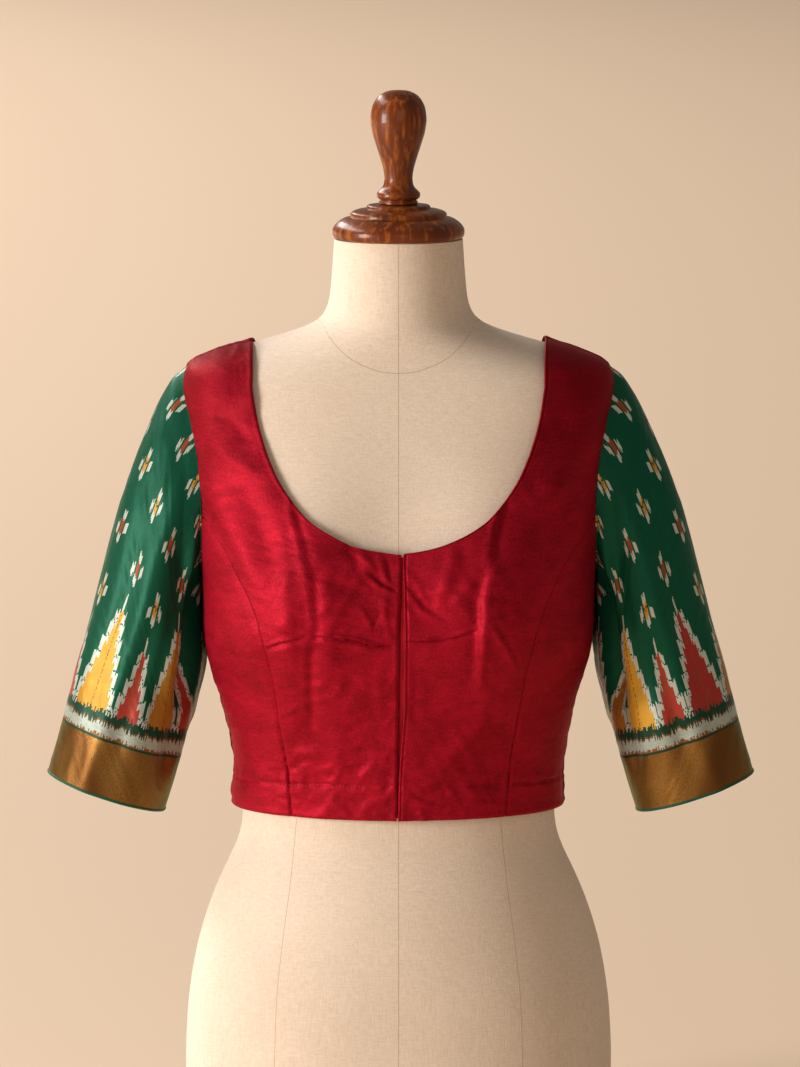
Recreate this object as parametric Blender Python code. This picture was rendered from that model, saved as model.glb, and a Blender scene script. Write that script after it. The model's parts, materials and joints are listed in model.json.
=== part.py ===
"""A choli blouse worn by a limbless dress form, with hollow set-in sleeves.

Metres, +Z up. The front faces -Y and the form stands on z = 0. The dress form is a stack of level
sections. The cloth follows it at a distance, the ease, as a wall of even thickness, and each piece of
the cut is one panel of that wall, bounded by its seams. Places on the form are given by a turn, which
is 0 at the front centre and grows towards +X, and a height.
"""

import math
from typing import NamedTuple

import bmesh
import bpy
import numpy as np

MM = 0.001

# Cloth
WALL = 1.2 * MM
SEAM_GAP = 0.3 * MM
SKIN_EASE = 2.3 * MM
SIDE_EASE = 0.8 * MM
SIDE_REST_HEIGHT = 454 * MM
SIDE_REST_SPREAD = 20 * MM
SHOULDER_EASE = 1.3 * MM
SHOULDER_START = 605 * MM
SHOULDER_FADE = 20 * MM
HEM_EASE = 3.4 * MM
VALLEY_EASE = 6.5 * MM
VALLEY_WIDE = 38 * MM
VALLEY_TALL = 58 * MM
UNDERBUST_EASE = 3.5 * MM
UNDERBUST_HEIGHT = 392 * MM
UNDERBUST_WIDE = 48 * MM
UNDERBUST_TALL = 36 * MM
PLACKET_EASE = 1.1 * MM
PLACKET_WIDE = 13 * MM
DEEPEST_FOLD = 0.3 * MM

# Levels of the blouse
HEM_HEIGHT = 288 * MM
BUST_HEIGHT = 452 * MM
UNDERARM_HEIGHT = 476 * MM
PRINCESS_TOP = 525 * MM
SHOULDER_TIP_HEIGHT = 638 * MM
BACK_NECK_HEIGHT = 586 * MM
BACK_BLADE_HEIGHT = 488 * MM

# Bust of the dress form
BUST_APART = 84 * MM
BUST_RISE = 25 * MM
BUST_WIDE = 45 * MM
BUST_ABOVE = 62 * MM
BUST_BELOW = 42 * MM

# Shoulders of the dress form
SHOULDER_BOTTOM = 605 * MM
SHOULDER_TOP = 694 * MM

# Armhole, seen from the side
ARMHOLE_FRONT = 46 * MM
ARMHOLE_BACK = 50 * MM
ARMHOLE_TIP_BACK = 9 * MM
ARMHOLE_FRONT_SKEW = 0.3
ARMHOLE_BACK_SKEW = 0.1

# Front opening
PLACKET_WALL = 1.0 * MM
PLACKET_GAP = 0.5 * MM
PLACKET_RIGHT_REACH = -14 * MM
PLACKET_LEFT_REACH = 16 * MM

# Sleeve
SLEEVE_SEAM_STEP = 1.1 * MM
SLEEVE_BODY_GAP = 1.2 * MM
SLEEVE_SOFTNESS = 1.5 * MM
SLEEVE_MIDDLE = 2 * MM
SLEEVE_HANG_RIGHT = -2.2 * MM
SLEEVE_HANG_LEFT = 1.2 * MM
PIPING_RADIUS = 1.3 * MM

# Neck cap and knob
CAP_FORWARD = 3.5 * MM

# How finely the pieces are divided
FORM_BODY_RINGS = 24
FORM_SHOULDER_RINGS = 18
FORM_NECK_RINGS = 4
FORM_STEPS = 44
OPENING_ROWS = 12
PRINCESS_ROWS = 14
NECK_ROWS = 9
SHOULDER_ROWS = 5
CENTRE_COLUMNS = 9
SIDE_COLUMNS = 5
BACK_LOW_ROWS = 9
BACK_HIGH_ROWS = 4
BACK_NECK_ROWS = 6
BACK_COLUMNS = 9
SLEEVE_RINGS = 17
SLEEVE_STEPS = 30
PIPING_SIDES = 6
TURNED_STEPS = 32


class Section(NamedTuple):
    """A level cut through the dress form, in millimetres."""

    height: float
    half_width: float
    front: float
    back: float
    middle: float
    squareness: float


FORM_SECTIONS = (
    Section(0, 166, 104, 116, 0, 2.2),
    Section(40, 170, 107, 122, 0, 2.2),
    Section(80, 171.5, 108, 125, 0, 2.2),
    Section(120, 169.8, 108, 125, 0, 2.2),
    Section(147, 166.6, 107, 122, 0, 2.2),
    Section(172, 162, 104, 117, 0, 2.15),
    Section(194, 156, 101, 110, 0, 2.1),
    Section(215, 148.7, 97, 103, 0, 2.1),
    Section(234, 140.5, 92, 96, 0, 2.1),
    Section(253, 131.5, 87, 89, 0, 2.1),
    Section(268, 126.6, 84, 84, 0, 2.1),
    Section(282, 125, 83, 82, 0, 2.1),
    Section(320, 126, 86, 84, 0, 2.1),
    Section(360, 133.5, 92, 91, 0, 2.2),
    Section(394, 144, 98, 97, 0, 2.3),
    Section(414, 150, 101, 100, 0, 2.4),
    Section(440, 153.8, 104, 104, 0, 2.5),
    Section(484, 155.2, 104, 108, 0, 2.7),
    Section(520, 158, 99, 109, 0, 2.8),
    Section(560, 160.5, 89, 106, 2, 3.0),
    Section(600, 165.5, 76, 98, 5, 3.0),
    Section(625, 169, 68, 88, 8, 2.8),
    Section(637, 168, 64, 82, 9, 2.6),
    Section(646, 156, 61, 77, 9, 2.3),
    Section(656, 124, 58, 71, 8, 2.1),
    Section(666, 89, 56, 64, 6, 2.05),
    Section(676, 64.5, 54, 57, 3, 2),
    Section(684, 58.5, 53, 53, 1, 2),
    Section(694, 55.1, 52, 50, -1, 2),
    Section(718, 52.8, 51, 46, -3, 2),
    Section(742.4, 51.2, 51, 44, -3.5, 2),
)


class Across(NamedTuple):
    """A point of a line drawn on the blouse, seen from the front, in millimetres."""

    height: float
    across: float


NECKLINE = (
    Across(502, 0),
    Across(505, 20),
    Across(510, 38),
    Across(518, 55),
    Across(528, 70),
    Across(541, 82),
    Across(558, 94),
    Across(580, 104),
    Across(605, 111.5),
    Across(628, 115.5),
)
NECKLINE_AT_SHOULDER = 117 * MM

BACK_NECKLINE = (
    Across(586, 0),
    Across(588, 30),
    Across(594, 60),
    Across(605, 88),
    Across(618, 105),
    Across(630, 114),
)

PRINCESS_SEAM = (
    Across(288, 85.5),
    Across(318, 87.5),
    Across(360, 93),
    Across(392, 97.5),
    Across(418, 102.5),
    Across(440, 108.5),
    Across(462, 116.5),
    Across(482, 126),
    Across(500, 137),
    Across(514, 147),
    Across(525, 154.5),
)

RIGHT_FRONT_EDGE = (
    Across(288, 1.4),
    Across(340, 1.2),
    Across(440, 0.4),
    Across(470, -1),
    Across(502, -2.4),
)
LEFT_FRONT_EDGE = (
    Across(288, 0),
    Across(338, 1.4),
    Across(362, 3.4),
    Across(388, 6),
    Across(438, 6.6),
    Across(478, 5.2),
    Across(502, 4.4),
)


class SleevePoint(NamedTuple):
    """A point of the sleeve's outline, seen from the front, in millimetres."""

    across: float
    height: float


SLEEVE_OUTER_LINE = (
    SleevePoint(172.4, 641.2),
    SleevePoint(181.7, 634),
    SleevePoint(189.7, 621),
    SleevePoint(200, 599.5),
    SleevePoint(208.6, 578),
    SleevePoint(217.2, 554),
    SleevePoint(225.2, 527),
    SleevePoint(238.6, 479),
    SleevePoint(255.8, 415),
    SleevePoint(269.2, 364),
    SleevePoint(283.3, 314.7),
)
SLEEVE_UNDERARM_LINE = (
    SleevePoint(159.8, 477.6),
    SleevePoint(161.6, 470),
    SleevePoint(161, 445),
    SleevePoint(159, 420),
    SleevePoint(159.8, 396),
    SleevePoint(164.6, 373),
    SleevePoint(170.6, 349.5),
    SleevePoint(181.7, 310),
    SleevePoint(190.2, 283.8),
)


class Depth(NamedTuple):
    """Half the sleeve's depth from front to back, at a share of its length, in millimetres."""

    share: float
    half_depth: float


SLEEVE_DEPTHS = (Depth(0, 48), Depth(0.2, 53), Depth(0.45, 54), Depth(0.7, 50), Depth(1, 46.5))


class SleeveFold(NamedTuple):
    """A fold along the sleeve. The angle is 0 on the outside of the arm and 90 at its front."""

    angle: float
    start: float
    end: float
    rise: float
    width: float


SLEEVE_FOLDS = (
    SleeveFold(112, 0.06, 0.78, -7.0, 17),
    SleeveFold(86, 0.05, 0.62, 3.2, 13),
    SleeveFold(58, 0.10, 0.86, -3.4, 15),
    SleeveFold(32, 0.22, 0.95, 2.2, 15),
    SleeveFold(136, 0.30, 0.92, 2.6, 14),
    SleeveFold(248, 0.08, 0.70, -5.0, 18),
    SleeveFold(292, 0.15, 0.85, 2.6, 18),
    SleeveFold(322, 0.20, 0.90, -2.4, 15),
)


class FrontFold(NamedTuple):
    """A fold on the bodice, from one point to another seen from the front, in millimetres."""

    from_across: float
    from_height: float
    to_across: float
    to_height: float
    rise: float
    width: float


FRONT_FOLDS = (
    FrontFold(-80, 512, -69, 372, -2.4, 6),
    FrontFold(-92, 500, -80, 410, 1.4, 8),
    FrontFold(-58, 500, -56, 400, 1.2, 7),
    FrontFold(76, 496, 68, 402, 2.0, 6),
    FrontFold(60, 500, 58, 420, -1.4, 6),
    FrontFold(-28, 356, -66, 300, -1.0, 8),
    FrontFold(22, 322, 74, 372, 1.1, 9),
)


class Turned(NamedTuple):
    """A point of a turned outline, in millimetres: its radius, and its height above the neck."""

    radius: float
    height: float


CAP_OUTLINE = (
    Turned(0, 0.3),
    Turned(49.5, 0.3),
    Turned(51.8, 2.6),
    Turned(52.6, 6.2),
    Turned(51.4, 10),
    Turned(48, 13.6),
    Turned(42, 17),
    Turned(38.4, 18.4),
    Turned(38.4, 20),
    Turned(36.6, 21.8),
    Turned(31, 23.8),
    Turned(25.4, 25),
    Turned(24.6, 26.2),
    Turned(20, 27.6),
    Turned(0, 27.6),
)
KNOB_OUTLINE = (
    Turned(0, 27.9),
    Turned(15.5, 27.9),
    Turned(15.5, 30.0),
    Turned(14.4, 31.0),
    Turned(17.0, 33.2),
    Turned(17.2, 36),
    Turned(15.0, 39),
    Turned(12.2, 42.2),
    Turned(11.2, 48),
    Turned(12.3, 56),
    Turned(15, 65.5),
    Turned(18.2, 75.5),
    Turned(21.2, 86),
    Turned(22.3, 96),
    Turned(20.8, 105.5),
    Turned(16.4, 112.5),
    Turned(9.4, 116.8),
    Turned(0, 118.3),
)


class Finish(NamedTuple):
    """A plain finish: linear colour, roughness and metallic value."""

    colour: tuple
    roughness: float
    metallic: float


RED_SATIN = Finish((0.47, 0.008, 0.026), 0.38, 0.0)
GREEN_SILK = Finish((0.010, 0.115, 0.064), 0.42, 0.0)
CREAM_LINEN = Finish((0.75, 0.62, 0.47), 0.9, 0.0)
POLISHED_WOOD = Finish((0.16, 0.035, 0.012), 0.18, 0.0)


def through(keys, values, at):
    """Reads a smooth curve that runs through the values at the keys and never overshoots them."""
    keys = np.asarray(keys, float)
    values = np.asarray(values, float)
    gaps = np.diff(keys)
    slopes = np.diff(values) / gaps
    product = slopes[:-1] * slopes[1:]
    total = slopes[:-1] + slopes[1:]
    steady = product > 0
    tangents = np.zeros_like(values)
    tangents[0] = slopes[0]
    tangents[-1] = slopes[-1]
    tangents[1:-1][steady] = 2 * product[steady] / total[steady]
    cell = np.clip(np.searchsorted(keys, at) - 1, 0, len(keys) - 2)
    part = (at - keys[cell]) / gaps[cell]
    rest = 1 - part
    return (
        values[cell] * (1 + 2 * part) * rest**2
        + tangents[cell] * gaps[cell] * part * rest**2
        + values[cell + 1] * part**2 * (3 - 2 * part)
        - tangents[cell + 1] * gaps[cell] * part**2 * rest
    )


def column(rows, key, value, at):
    """Reads one column of a table in millimetres against another, in metres."""
    keys = [getattr(row, key) * MM for row in rows]
    values = [getattr(row, value) * MM for row in rows]
    return through(keys, values, at)


def form_profile(step=1 * MM, blur=4 * MM):
    """Levels every millimetre, and the form's section at each, with its corners rounded by the blur."""
    table = np.array(FORM_SECTIONS, float)
    table[:, :5] *= MM
    levels = np.arange(-20 * MM, table[-1, 0] + 20 * MM, step)
    reach = int(3 * blur / step)
    bell = np.exp(-0.5 * (np.arange(-reach, reach + 1) * step / blur) ** 2)
    bell /= bell.sum()
    columns = []
    for index in range(1, table.shape[1]):
        values = through(table[:, 0], table[:, index], levels)
        padded = np.pad(values, reach, mode="reflect", reflect_type="odd")
        columns.append(np.convolve(padded, bell, mode="valid"))
    return levels, columns


FORM_LEVELS, FORM_COLUMNS = form_profile()


def smooth_step(value):
    """0 below 0, 1 above 1, and an S-shaped rise between them."""
    value = np.clip(value, 0, 1)
    return value * value * (3 - 2 * value)


def bell(value, width):
    """A bell curve of height 1."""
    return np.exp(-0.5 * (value / width) ** 2)


def form_surface(turn, height):
    """Points on the dress form at arrays of turns and heights."""
    half_width, front, back, middle, squareness = (
        np.interp(height, FORM_LEVELS, values) for values in FORM_COLUMNS
    )
    side = np.sin(turn)
    ahead = np.cos(turn)
    size = np.abs(side) ** squareness + np.abs(ahead) ** squareness
    size = size ** (-1 / squareness)
    reach = np.where(ahead > 0, front + middle, back - middle)
    x = half_width * size * side
    y = middle - reach * size * ahead
    spread = np.where(height > BUST_HEIGHT, BUST_ABOVE, BUST_BELOW)
    rise = BUST_RISE * bell(height - BUST_HEIGHT, spread)
    rise = rise * (bell(x - BUST_APART, BUST_WIDE) + bell(x + BUST_APART, BUST_WIDE))
    y = y - rise * smooth_step(ahead / 0.45)
    return np.stack([x, y, height + 0 * x], axis=-1)


def form_normal(turn, height):
    """Unit vectors out of the dress form."""
    turn_step = 0.002
    height_step = 1.5 * MM
    along = form_surface(turn + turn_step, height) - form_surface(turn - turn_step, height)
    up = form_surface(turn, height + height_step) - form_surface(turn, height - height_step)
    normal = np.cross(along, up)
    return normal / np.linalg.norm(normal, axis=-1, keepdims=True)


def fold_rise(across, height):
    """How far the bodice's large folds stand out of its surface or sink into it."""
    rise = np.zeros_like(across)
    for fold in FRONT_FOLDS:
        start = np.array([fold.from_across, fold.from_height]) * MM
        run = np.array([fold.to_across, fold.to_height]) * MM - start
        length = np.hypot(*run)
        along = ((across - start[0]) * run[0] + (height - start[1]) * run[1]) / length**2
        beside = ((across - start[0]) * run[1] - (height - start[1]) * run[0]) / length
        ends = smooth_step((along + 0.15) / 0.4) * smooth_step((1.15 - along) / 0.4)
        rise += fold.rise * MM * ends * bell(beside, fold.width * MM)
    return rise


def ease(turn, point):
    """The distance from the form to the cloth's inner face."""
    across = point[..., 0]
    height = point[..., 2]
    in_front = smooth_step(np.cos(turn) / 0.45)
    hem = HEM_EASE * smooth_step((BUST_HEIGHT - height) / (BUST_HEIGHT - HEM_HEIGHT))
    valley = VALLEY_EASE * bell(across, VALLEY_WIDE) * bell(height - BUST_HEIGHT, VALLEY_TALL)
    below = UNDERBUST_EASE * bell(np.abs(across) - BUST_APART, UNDERBUST_WIDE)
    below = below * bell(height - UNDERBUST_HEIGHT, UNDERBUST_TALL)
    placket = PLACKET_EASE * bell(across, PLACKET_WIDE)
    shoulder = SHOULDER_EASE * smooth_step((height - SHOULDER_START) / SHOULDER_FADE)
    folds = np.maximum(fold_rise(across, height), -DEEPEST_FOLD - valley)
    room = valley + below + placket + shoulder + folds
    at_side = smooth_step((np.abs(np.sin(turn)) - 0.9) / 0.1)
    resting = at_side * bell(height - SIDE_REST_HEIGHT, SIDE_REST_SPREAD)
    return SKIN_EASE + hem + room * in_front - (SKIN_EASE - SIDE_EASE) * resting


def cloth(turn, height, lift):
    """Points of the bodice's wall: lift is 0 on its inner face and WALL on its outer one."""
    point = form_surface(turn, height)
    distance = ease(turn, point) + lift
    return point + form_normal(turn, height) * distance[..., None]


def bisect(value_at, low, high, target):
    """Solves value_at(x) = target for arrays, where value_at rises from low to high."""
    low = np.full(np.shape(target), low, float)
    high = np.full(np.shape(target), high, float)
    for _ in range(40):
        middle = (low + high) / 2
        short = value_at(middle) < target
        low = np.where(short, middle, low)
        high = np.where(short, high, middle)
    return (low + high) / 2


def front_turn(across, height):
    """The turn at which the front of the cloth is that far from the centre, on either side of it."""
    turn = bisect(
        lambda turn: cloth(turn, height, 0.5 * WALL)[..., 0], 0, math.pi / 2, np.abs(across)
    )
    return np.sign(across) * turn


def back_turn(across, height):
    """The turn at which the back of the cloth is that far from the centre."""
    around = bisect(
        lambda turn: cloth(math.pi - turn, height, 0.5 * WALL)[..., 0], 0, math.pi / 2, across
    )
    return math.pi - around


def depth_turn(depth, height):
    """The turn at which the side of the cloth is that far behind the centre plane."""
    return bisect(
        lambda turn: cloth(turn, height, 0.5 * WALL)[..., 1], 0.2 * math.pi, 0.8 * math.pi, depth
    )


def shoulder_height(across, turn):
    """The height at which the sloping shoulder is that far from the centre, at that turn."""
    fallen = bisect(
        lambda drop: cloth(turn, 672 * MM - drop, 0.5 * WALL)[..., 0], 0, 40 * MM, across
    )
    return 672 * MM - fallen


def armhole(angle):
    """Turns and heights round the armhole: the angle is 0 at the shoulder tip and 90 at the front."""
    middle = (SHOULDER_TIP_HEIGHT + UNDERARM_HEIGHT) / 2
    rise = (SHOULDER_TIP_HEIGHT - UNDERARM_HEIGHT) / 2
    height = middle + rise * np.cos(angle)
    in_front = np.sin(angle) >= 0
    half_depth = np.where(in_front, ARMHOLE_FRONT, ARMHOLE_BACK)
    skew = np.where(in_front, ARMHOLE_FRONT_SKEW, ARMHOLE_BACK_SKEW)
    depth = ARMHOLE_TIP_BACK * (1 + np.cos(angle)) / 2
    depth = depth - half_depth * np.sin(angle) * (1 - skew * np.cos(angle))
    return depth_turn(depth, height), height


def armhole_angle(height):
    """The angle round the armhole's front edge at a height."""
    middle = (SHOULDER_TIP_HEIGHT + UNDERARM_HEIGHT) / 2
    rise = (SHOULDER_TIP_HEIGHT - UNDERARM_HEIGHT) / 2
    return np.arccos(np.clip((height - middle) / rise, -1, 1))


def seam_inset(turn, height, share):
    """The small turn that is a share of the seam gap wide."""
    step = 0.002
    width = cloth(turn + step, height, WALL) - cloth(turn - step, height, WALL)
    return share * SEAM_GAP * 2 * step / np.linalg.norm(width, axis=-1)


def fill(bottom, top, inner, outer):
    """Fills the space between four edges, each an array of (turn, height), with a grid."""
    rows = np.linspace(0, 1, len(inner))[:, None, None]
    columns = np.linspace(0, 1, len(bottom))[None, :, None]
    corners = (
        (1 - rows) * ((1 - columns) * bottom[0] + columns * bottom[-1])
        + rows * ((1 - columns) * top[0] + columns * top[-1])
    )
    level = (1 - rows) * bottom[None] + rows * top[None]
    across = (1 - columns) * inner[:, None] + columns * outer[:, None]
    return level + across - corners


def between(start, end, count):
    """Evenly spaced (turn, height) pairs from one to another."""
    return np.linspace(np.array(start, float), np.array(end, float), count)


def princess_edge(heights, share):
    """The princess seam, moved by a share of the seam gap towards the side."""
    turn = front_turn(column(PRINCESS_SEAM, "height", "across", heights), heights)
    return np.stack([turn + seam_inset(turn, heights, share), heights], axis=-1)


def shoulder_edge(across, turn):
    """Points on the shoulder at a distance from the centre, at an array of turns."""
    return np.stack([turn, shoulder_height(across, turn)], axis=-1)


def centre_front_grid(edge_rows):
    """The centre front panel, for the side of +X: the rows give its edge at the front opening."""
    rows = OPENING_ROWS + NECK_ROWS + SHOULDER_ROWS
    neck_top = NECKLINE[-1].height * MM
    neck_start = NECKLINE[0].height * MM
    top_turn = math.pi / 2 - seam_inset(math.pi / 2, 652 * MM, 0.5)
    heights = np.linspace(HEM_HEIGHT, neck_start, OPENING_ROWS + 1)
    edge = column(edge_rows, "height", "across", heights)
    opening = np.stack([front_turn(edge, heights), heights], axis=-1)
    neck_heights = neck_start + (neck_top - neck_start) * np.linspace(0, 1, NECK_ROWS + 1)[1:] ** 1.35
    neck_across = column(NECKLINE, "height", "across", neck_heights)
    neck = np.stack([front_turn(neck_across, neck_heights), neck_heights], axis=-1)
    neck_turns = np.linspace(neck[-1, 0], top_turn, SHOULDER_ROWS + 1)[1:]
    shoulder = np.linspace(NECKLINE[-1].across * MM, NECKLINE_AT_SHOULDER, SHOULDER_ROWS + 1)[1:]
    inner = np.concatenate([opening, neck, shoulder_edge(shoulder, neck_turns)])
    princess = princess_edge(np.linspace(HEM_HEIGHT, PRINCESS_TOP, PRINCESS_ROWS + 1), -0.5)
    start = armhole_angle(PRINCESS_TOP)
    arm_turns, arm_heights = armhole(np.linspace(start, 0, rows - PRINCESS_ROWS + 1)[1:])
    arm_turns = np.minimum(arm_turns, top_turn)
    outer = np.concatenate([princess, np.stack([arm_turns, arm_heights], axis=-1)])
    bottom = between(inner[0], outer[0], CENTRE_COLUMNS + 1)
    top = between(inner[-1], outer[-1], CENTRE_COLUMNS + 1)
    return fill(bottom, top, inner, outer)


def side_front_grid():
    """The side front panel, for the side of +X, from the princess seam to the side seam."""
    inner = princess_edge(np.linspace(HEM_HEIGHT, PRINCESS_TOP, PRINCESS_ROWS + 1), 0.5)
    heights = np.linspace(HEM_HEIGHT, UNDERARM_HEIGHT, PRINCESS_ROWS + 1)
    side = math.pi / 2 - seam_inset(math.pi / 2 + 0 * heights, heights, 0.5)
    outer = np.stack([side, heights], axis=-1)
    bottom = between(inner[0], outer[0], SIDE_COLUMNS + 1)
    start = armhole_angle(PRINCESS_TOP)
    turns, heights = armhole(np.linspace(start, math.pi, SIDE_COLUMNS + 1))
    top = np.stack([np.minimum(turns, outer[-1, 0]), heights], axis=-1)
    top[0] = inner[-1]
    top[-1] = outer[-1]
    return fill(bottom, top, inner, outer)


def half_back_grid():
    """The half of the back on the side of +X, and the number of its rows that reach the centre line."""
    over = SHOULDER_ROWS
    closed_rows = BACK_LOW_ROWS + BACK_HIGH_ROWS
    neck_top = BACK_NECKLINE[-1].height * MM
    low_turn = math.pi / 2 + seam_inset(math.pi / 2, 652 * MM, 0.5)
    low = np.linspace(HEM_HEIGHT, BACK_BLADE_HEIGHT, BACK_LOW_ROWS + 1)
    high = np.linspace(BACK_BLADE_HEIGHT, BACK_NECK_HEIGHT, BACK_HIGH_ROWS + 1)
    heights = np.concatenate([low, high[1:]])
    centre = np.stack([math.pi + 0 * heights, heights], axis=-1)
    share = np.linspace(0, 1, BACK_NECK_ROWS + 1)[1:] ** 1.5
    neck_heights = BACK_NECK_HEIGHT + (neck_top - BACK_NECK_HEIGHT) * share
    neck_across = column(BACK_NECKLINE, "height", "across", neck_heights)
    neck = np.stack([back_turn(neck_across, neck_heights), neck_heights], axis=-1)
    neck_turns = np.linspace(neck[-1, 0], low_turn, over + 1)[1:]
    shoulder = np.linspace(BACK_NECKLINE[-1].across * MM, NECKLINE_AT_SHOULDER, over + 1)[1:]
    inner = np.concatenate([centre, neck, shoulder_edge(shoulder, neck_turns)])
    heights = np.linspace(HEM_HEIGHT, UNDERARM_HEIGHT, BACK_LOW_ROWS + 1)
    side = math.pi / 2 + seam_inset(math.pi / 2 + 0 * heights, heights, 0.5)
    arm_rows = BACK_HIGH_ROWS + BACK_NECK_ROWS + over
    arm_turns, arm_heights = armhole(np.linspace(math.pi, 2 * math.pi, arm_rows + 1)[1:])
    arm = np.stack([np.maximum(arm_turns, low_turn), arm_heights], axis=-1)
    outer = np.concatenate([np.stack([side, heights], axis=-1), arm])
    bottom = between(inner[0], outer[0], BACK_COLUMNS + 1)
    top = between(inner[-1], outer[-1], BACK_COLUMNS + 1)
    return fill(bottom, top, inner, outer), closed_rows


def grid_quads(rows, columns, closed=False):
    """The quads of a grid of points, and those that close it round if it is a ring."""
    quads = []
    last = columns if closed else columns - 1
    for row in range(rows - 1):
        for place in range(last):
            beside = (place + 1) % columns
            here = row * columns
            above = here + columns
            quads.append((here + place, here + beside, above + beside, above + place))
    return quads


def split(quad, points):
    """Splits a quad along its shorter diagonal."""
    first, second, third, fourth = quad
    one_way = np.linalg.norm(points[first] - points[third])
    other_way = np.linalg.norm(points[second] - points[fourth])
    if one_way < other_way:
        return [(first, second, third), (first, third, fourth)]
    return [(first, second, fourth), (second, third, fourth)]


def wall_mesh(name, outer, inner, quads):
    """A closed wall from two matching sheets of points: the rim follows every open edge."""
    count = len(outer)
    faces = []
    for quad in quads:
        faces += split(quad, outer)
    faces += [tuple(count + corner for corner in reversed(face)) for face in faces]
    edges = {(quad[i], quad[(i + 1) % 4]) for quad in quads for i in range(4)}
    for start, end in sorted(edges):
        if (end, start) not in edges:
            faces.append((end, start, count + start, count + end))
    return mesh_from(name, np.concatenate([outer, inner]), faces)


def mesh_from(name, points, faces):
    """A mesh with its faces turned outwards, and shaded smooth but for its corners."""
    mesh = bpy.data.meshes.new(name)
    mesh.from_pydata([tuple(point) for point in np.asarray(points, float)], [], faces)
    shape = bmesh.new()
    shape.from_mesh(mesh)
    bmesh.ops.recalc_face_normals(shape, faces=shape.faces)
    shape.to_mesh(mesh)
    shape.free()
    mesh.shade_smooth()
    mesh.set_sharp_from_angle(angle=math.radians(50))
    return mesh


def place(name, mesh, finish):
    """Adds a mesh to the scene as a named object with its own material."""
    piece = bpy.data.objects.new(name, mesh)
    bpy.context.scene.collection.objects.link(piece)
    material = bpy.data.materials.new(name)
    material.use_nodes = True
    shader = material.node_tree.nodes["Principled BSDF"]
    shader.inputs["Base Color"].default_value = (*finish.colour, 1)
    shader.inputs["Roughness"].default_value = finish.roughness
    shader.inputs["Metallic"].default_value = finish.metallic
    mesh.materials.append(material)
    return piece


def mirrored(grid):
    """A grid of (turn, height) on the other side of the body."""
    return grid[:, ::-1] * np.array([-1, 1])


def panel(name, grid, low=0.0, high=WALL):
    """One piece of the bodice, from its grid of (turn, height)."""
    turn, height = grid[..., 0].ravel(), grid[..., 1].ravel()
    quads = grid_quads(*grid.shape[:2])
    mesh = wall_mesh(name, cloth(turn, height, high), cloth(turn, height, low), quads)
    return place(name, mesh, RED_SATIN)


def make_fronts():
    """The four front panels. The wearer's right is at -X, and its centre edge lies over the placket."""
    panel("front_centre_right", mirrored(centre_front_grid(RIGHT_FRONT_EDGE)))
    panel("front_centre_left", centre_front_grid(LEFT_FRONT_EDGE))
    side = side_front_grid()
    panel("front_side_right", mirrored(side))
    panel("front_side_left", side)


def make_placket():
    """The strip for the hooks: it backs the left front's edge and runs under the right front's."""
    heights = np.linspace(HEM_HEIGHT, NECKLINE[0].height * MM, OPENING_ROWS + 1)
    heights[0] += 1.5 * MM
    heights[-1] -= 1.5 * MM
    across = np.linspace(PLACKET_RIGHT_REACH, PLACKET_LEFT_REACH, 5)
    across, heights = np.meshgrid(across, heights)
    turn = front_turn(across, heights)
    low = -PLACKET_GAP - PLACKET_WALL
    panel("placket", np.stack([turn, heights], axis=-1), low=low, high=-PLACKET_GAP)


def make_back():
    """The back in one piece: two halves that share their centre line up to the neckline."""
    half, closed_rows = half_back_grid()
    rows, columns = half.shape[:2]
    other = half.copy()
    other[..., 0] = 2 * math.pi - other[..., 0]
    points = np.concatenate([half.reshape(-1, 2), other.reshape(-1, 2)])
    count = rows * columns
    shared = {count + row * columns: row * columns for row in range(closed_rows + 1)}
    quads = [tuple(reversed(quad)) for quad in grid_quads(rows, columns)]
    for quad in grid_quads(rows, columns):
        quads.append(tuple(shared.get(count + corner, count + corner) for corner in quad))
    used = sorted({corner for quad in quads for corner in quad})
    index = {corner: place_in for place_in, corner in enumerate(used)}
    quads = [tuple(index[corner] for corner in quad) for quad in quads]
    turn, height = points[used, 0], points[used, 1]
    mesh = wall_mesh("back", cloth(turn, height, WALL), cloth(turn, height, 0.0), quads)
    return place("back", mesh, RED_SATIN)


def line_through(rows, shares):
    """Points of a smooth line through a table of across and height, at shares of its length."""
    points = np.array(rows, float) * MM
    lengths = np.hypot(*np.diff(points, axis=0).T)
    along = np.concatenate([[0], np.cumsum(lengths)]) / lengths.sum()
    return np.stack([through(along, points[:, 0], shares), through(along, points[:, 1], shares)])


def body_reach(depth, height):
    """How far the bodice's outer face reaches to the side, at a depth and a height."""
    level = np.clip(height, HEM_HEIGHT, 630 * MM)
    turn = depth_turn(np.clip(depth, -80 * MM, 85 * MM), level)
    return cloth(turn, level, WALL)[..., 0]


def sleeve_rise(angle, share):
    """How far the sleeve's folds stand out of its surface or sink into it."""
    rise = np.zeros_like(angle + share)
    degrees = np.degrees(angle)
    for fold in SLEEVE_FOLDS:
        off = (degrees - fold.angle + 180) % 360 - 180
        ends = smooth_step((share - fold.start) / 0.16) * smooth_step((fold.end - share) / 0.2)
        rise += fold.rise * MM * ends * bell(off, fold.width)
    return rise


def grid_normals(points):
    """Unit normals of a tube of rings, pointing out of it."""
    around = np.roll(points, -1, axis=1) - np.roll(points, 1, axis=1)
    normals = np.cross(around, np.gradient(points, axis=0))
    return normals / np.linalg.norm(normals, axis=-1, keepdims=True)


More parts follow.
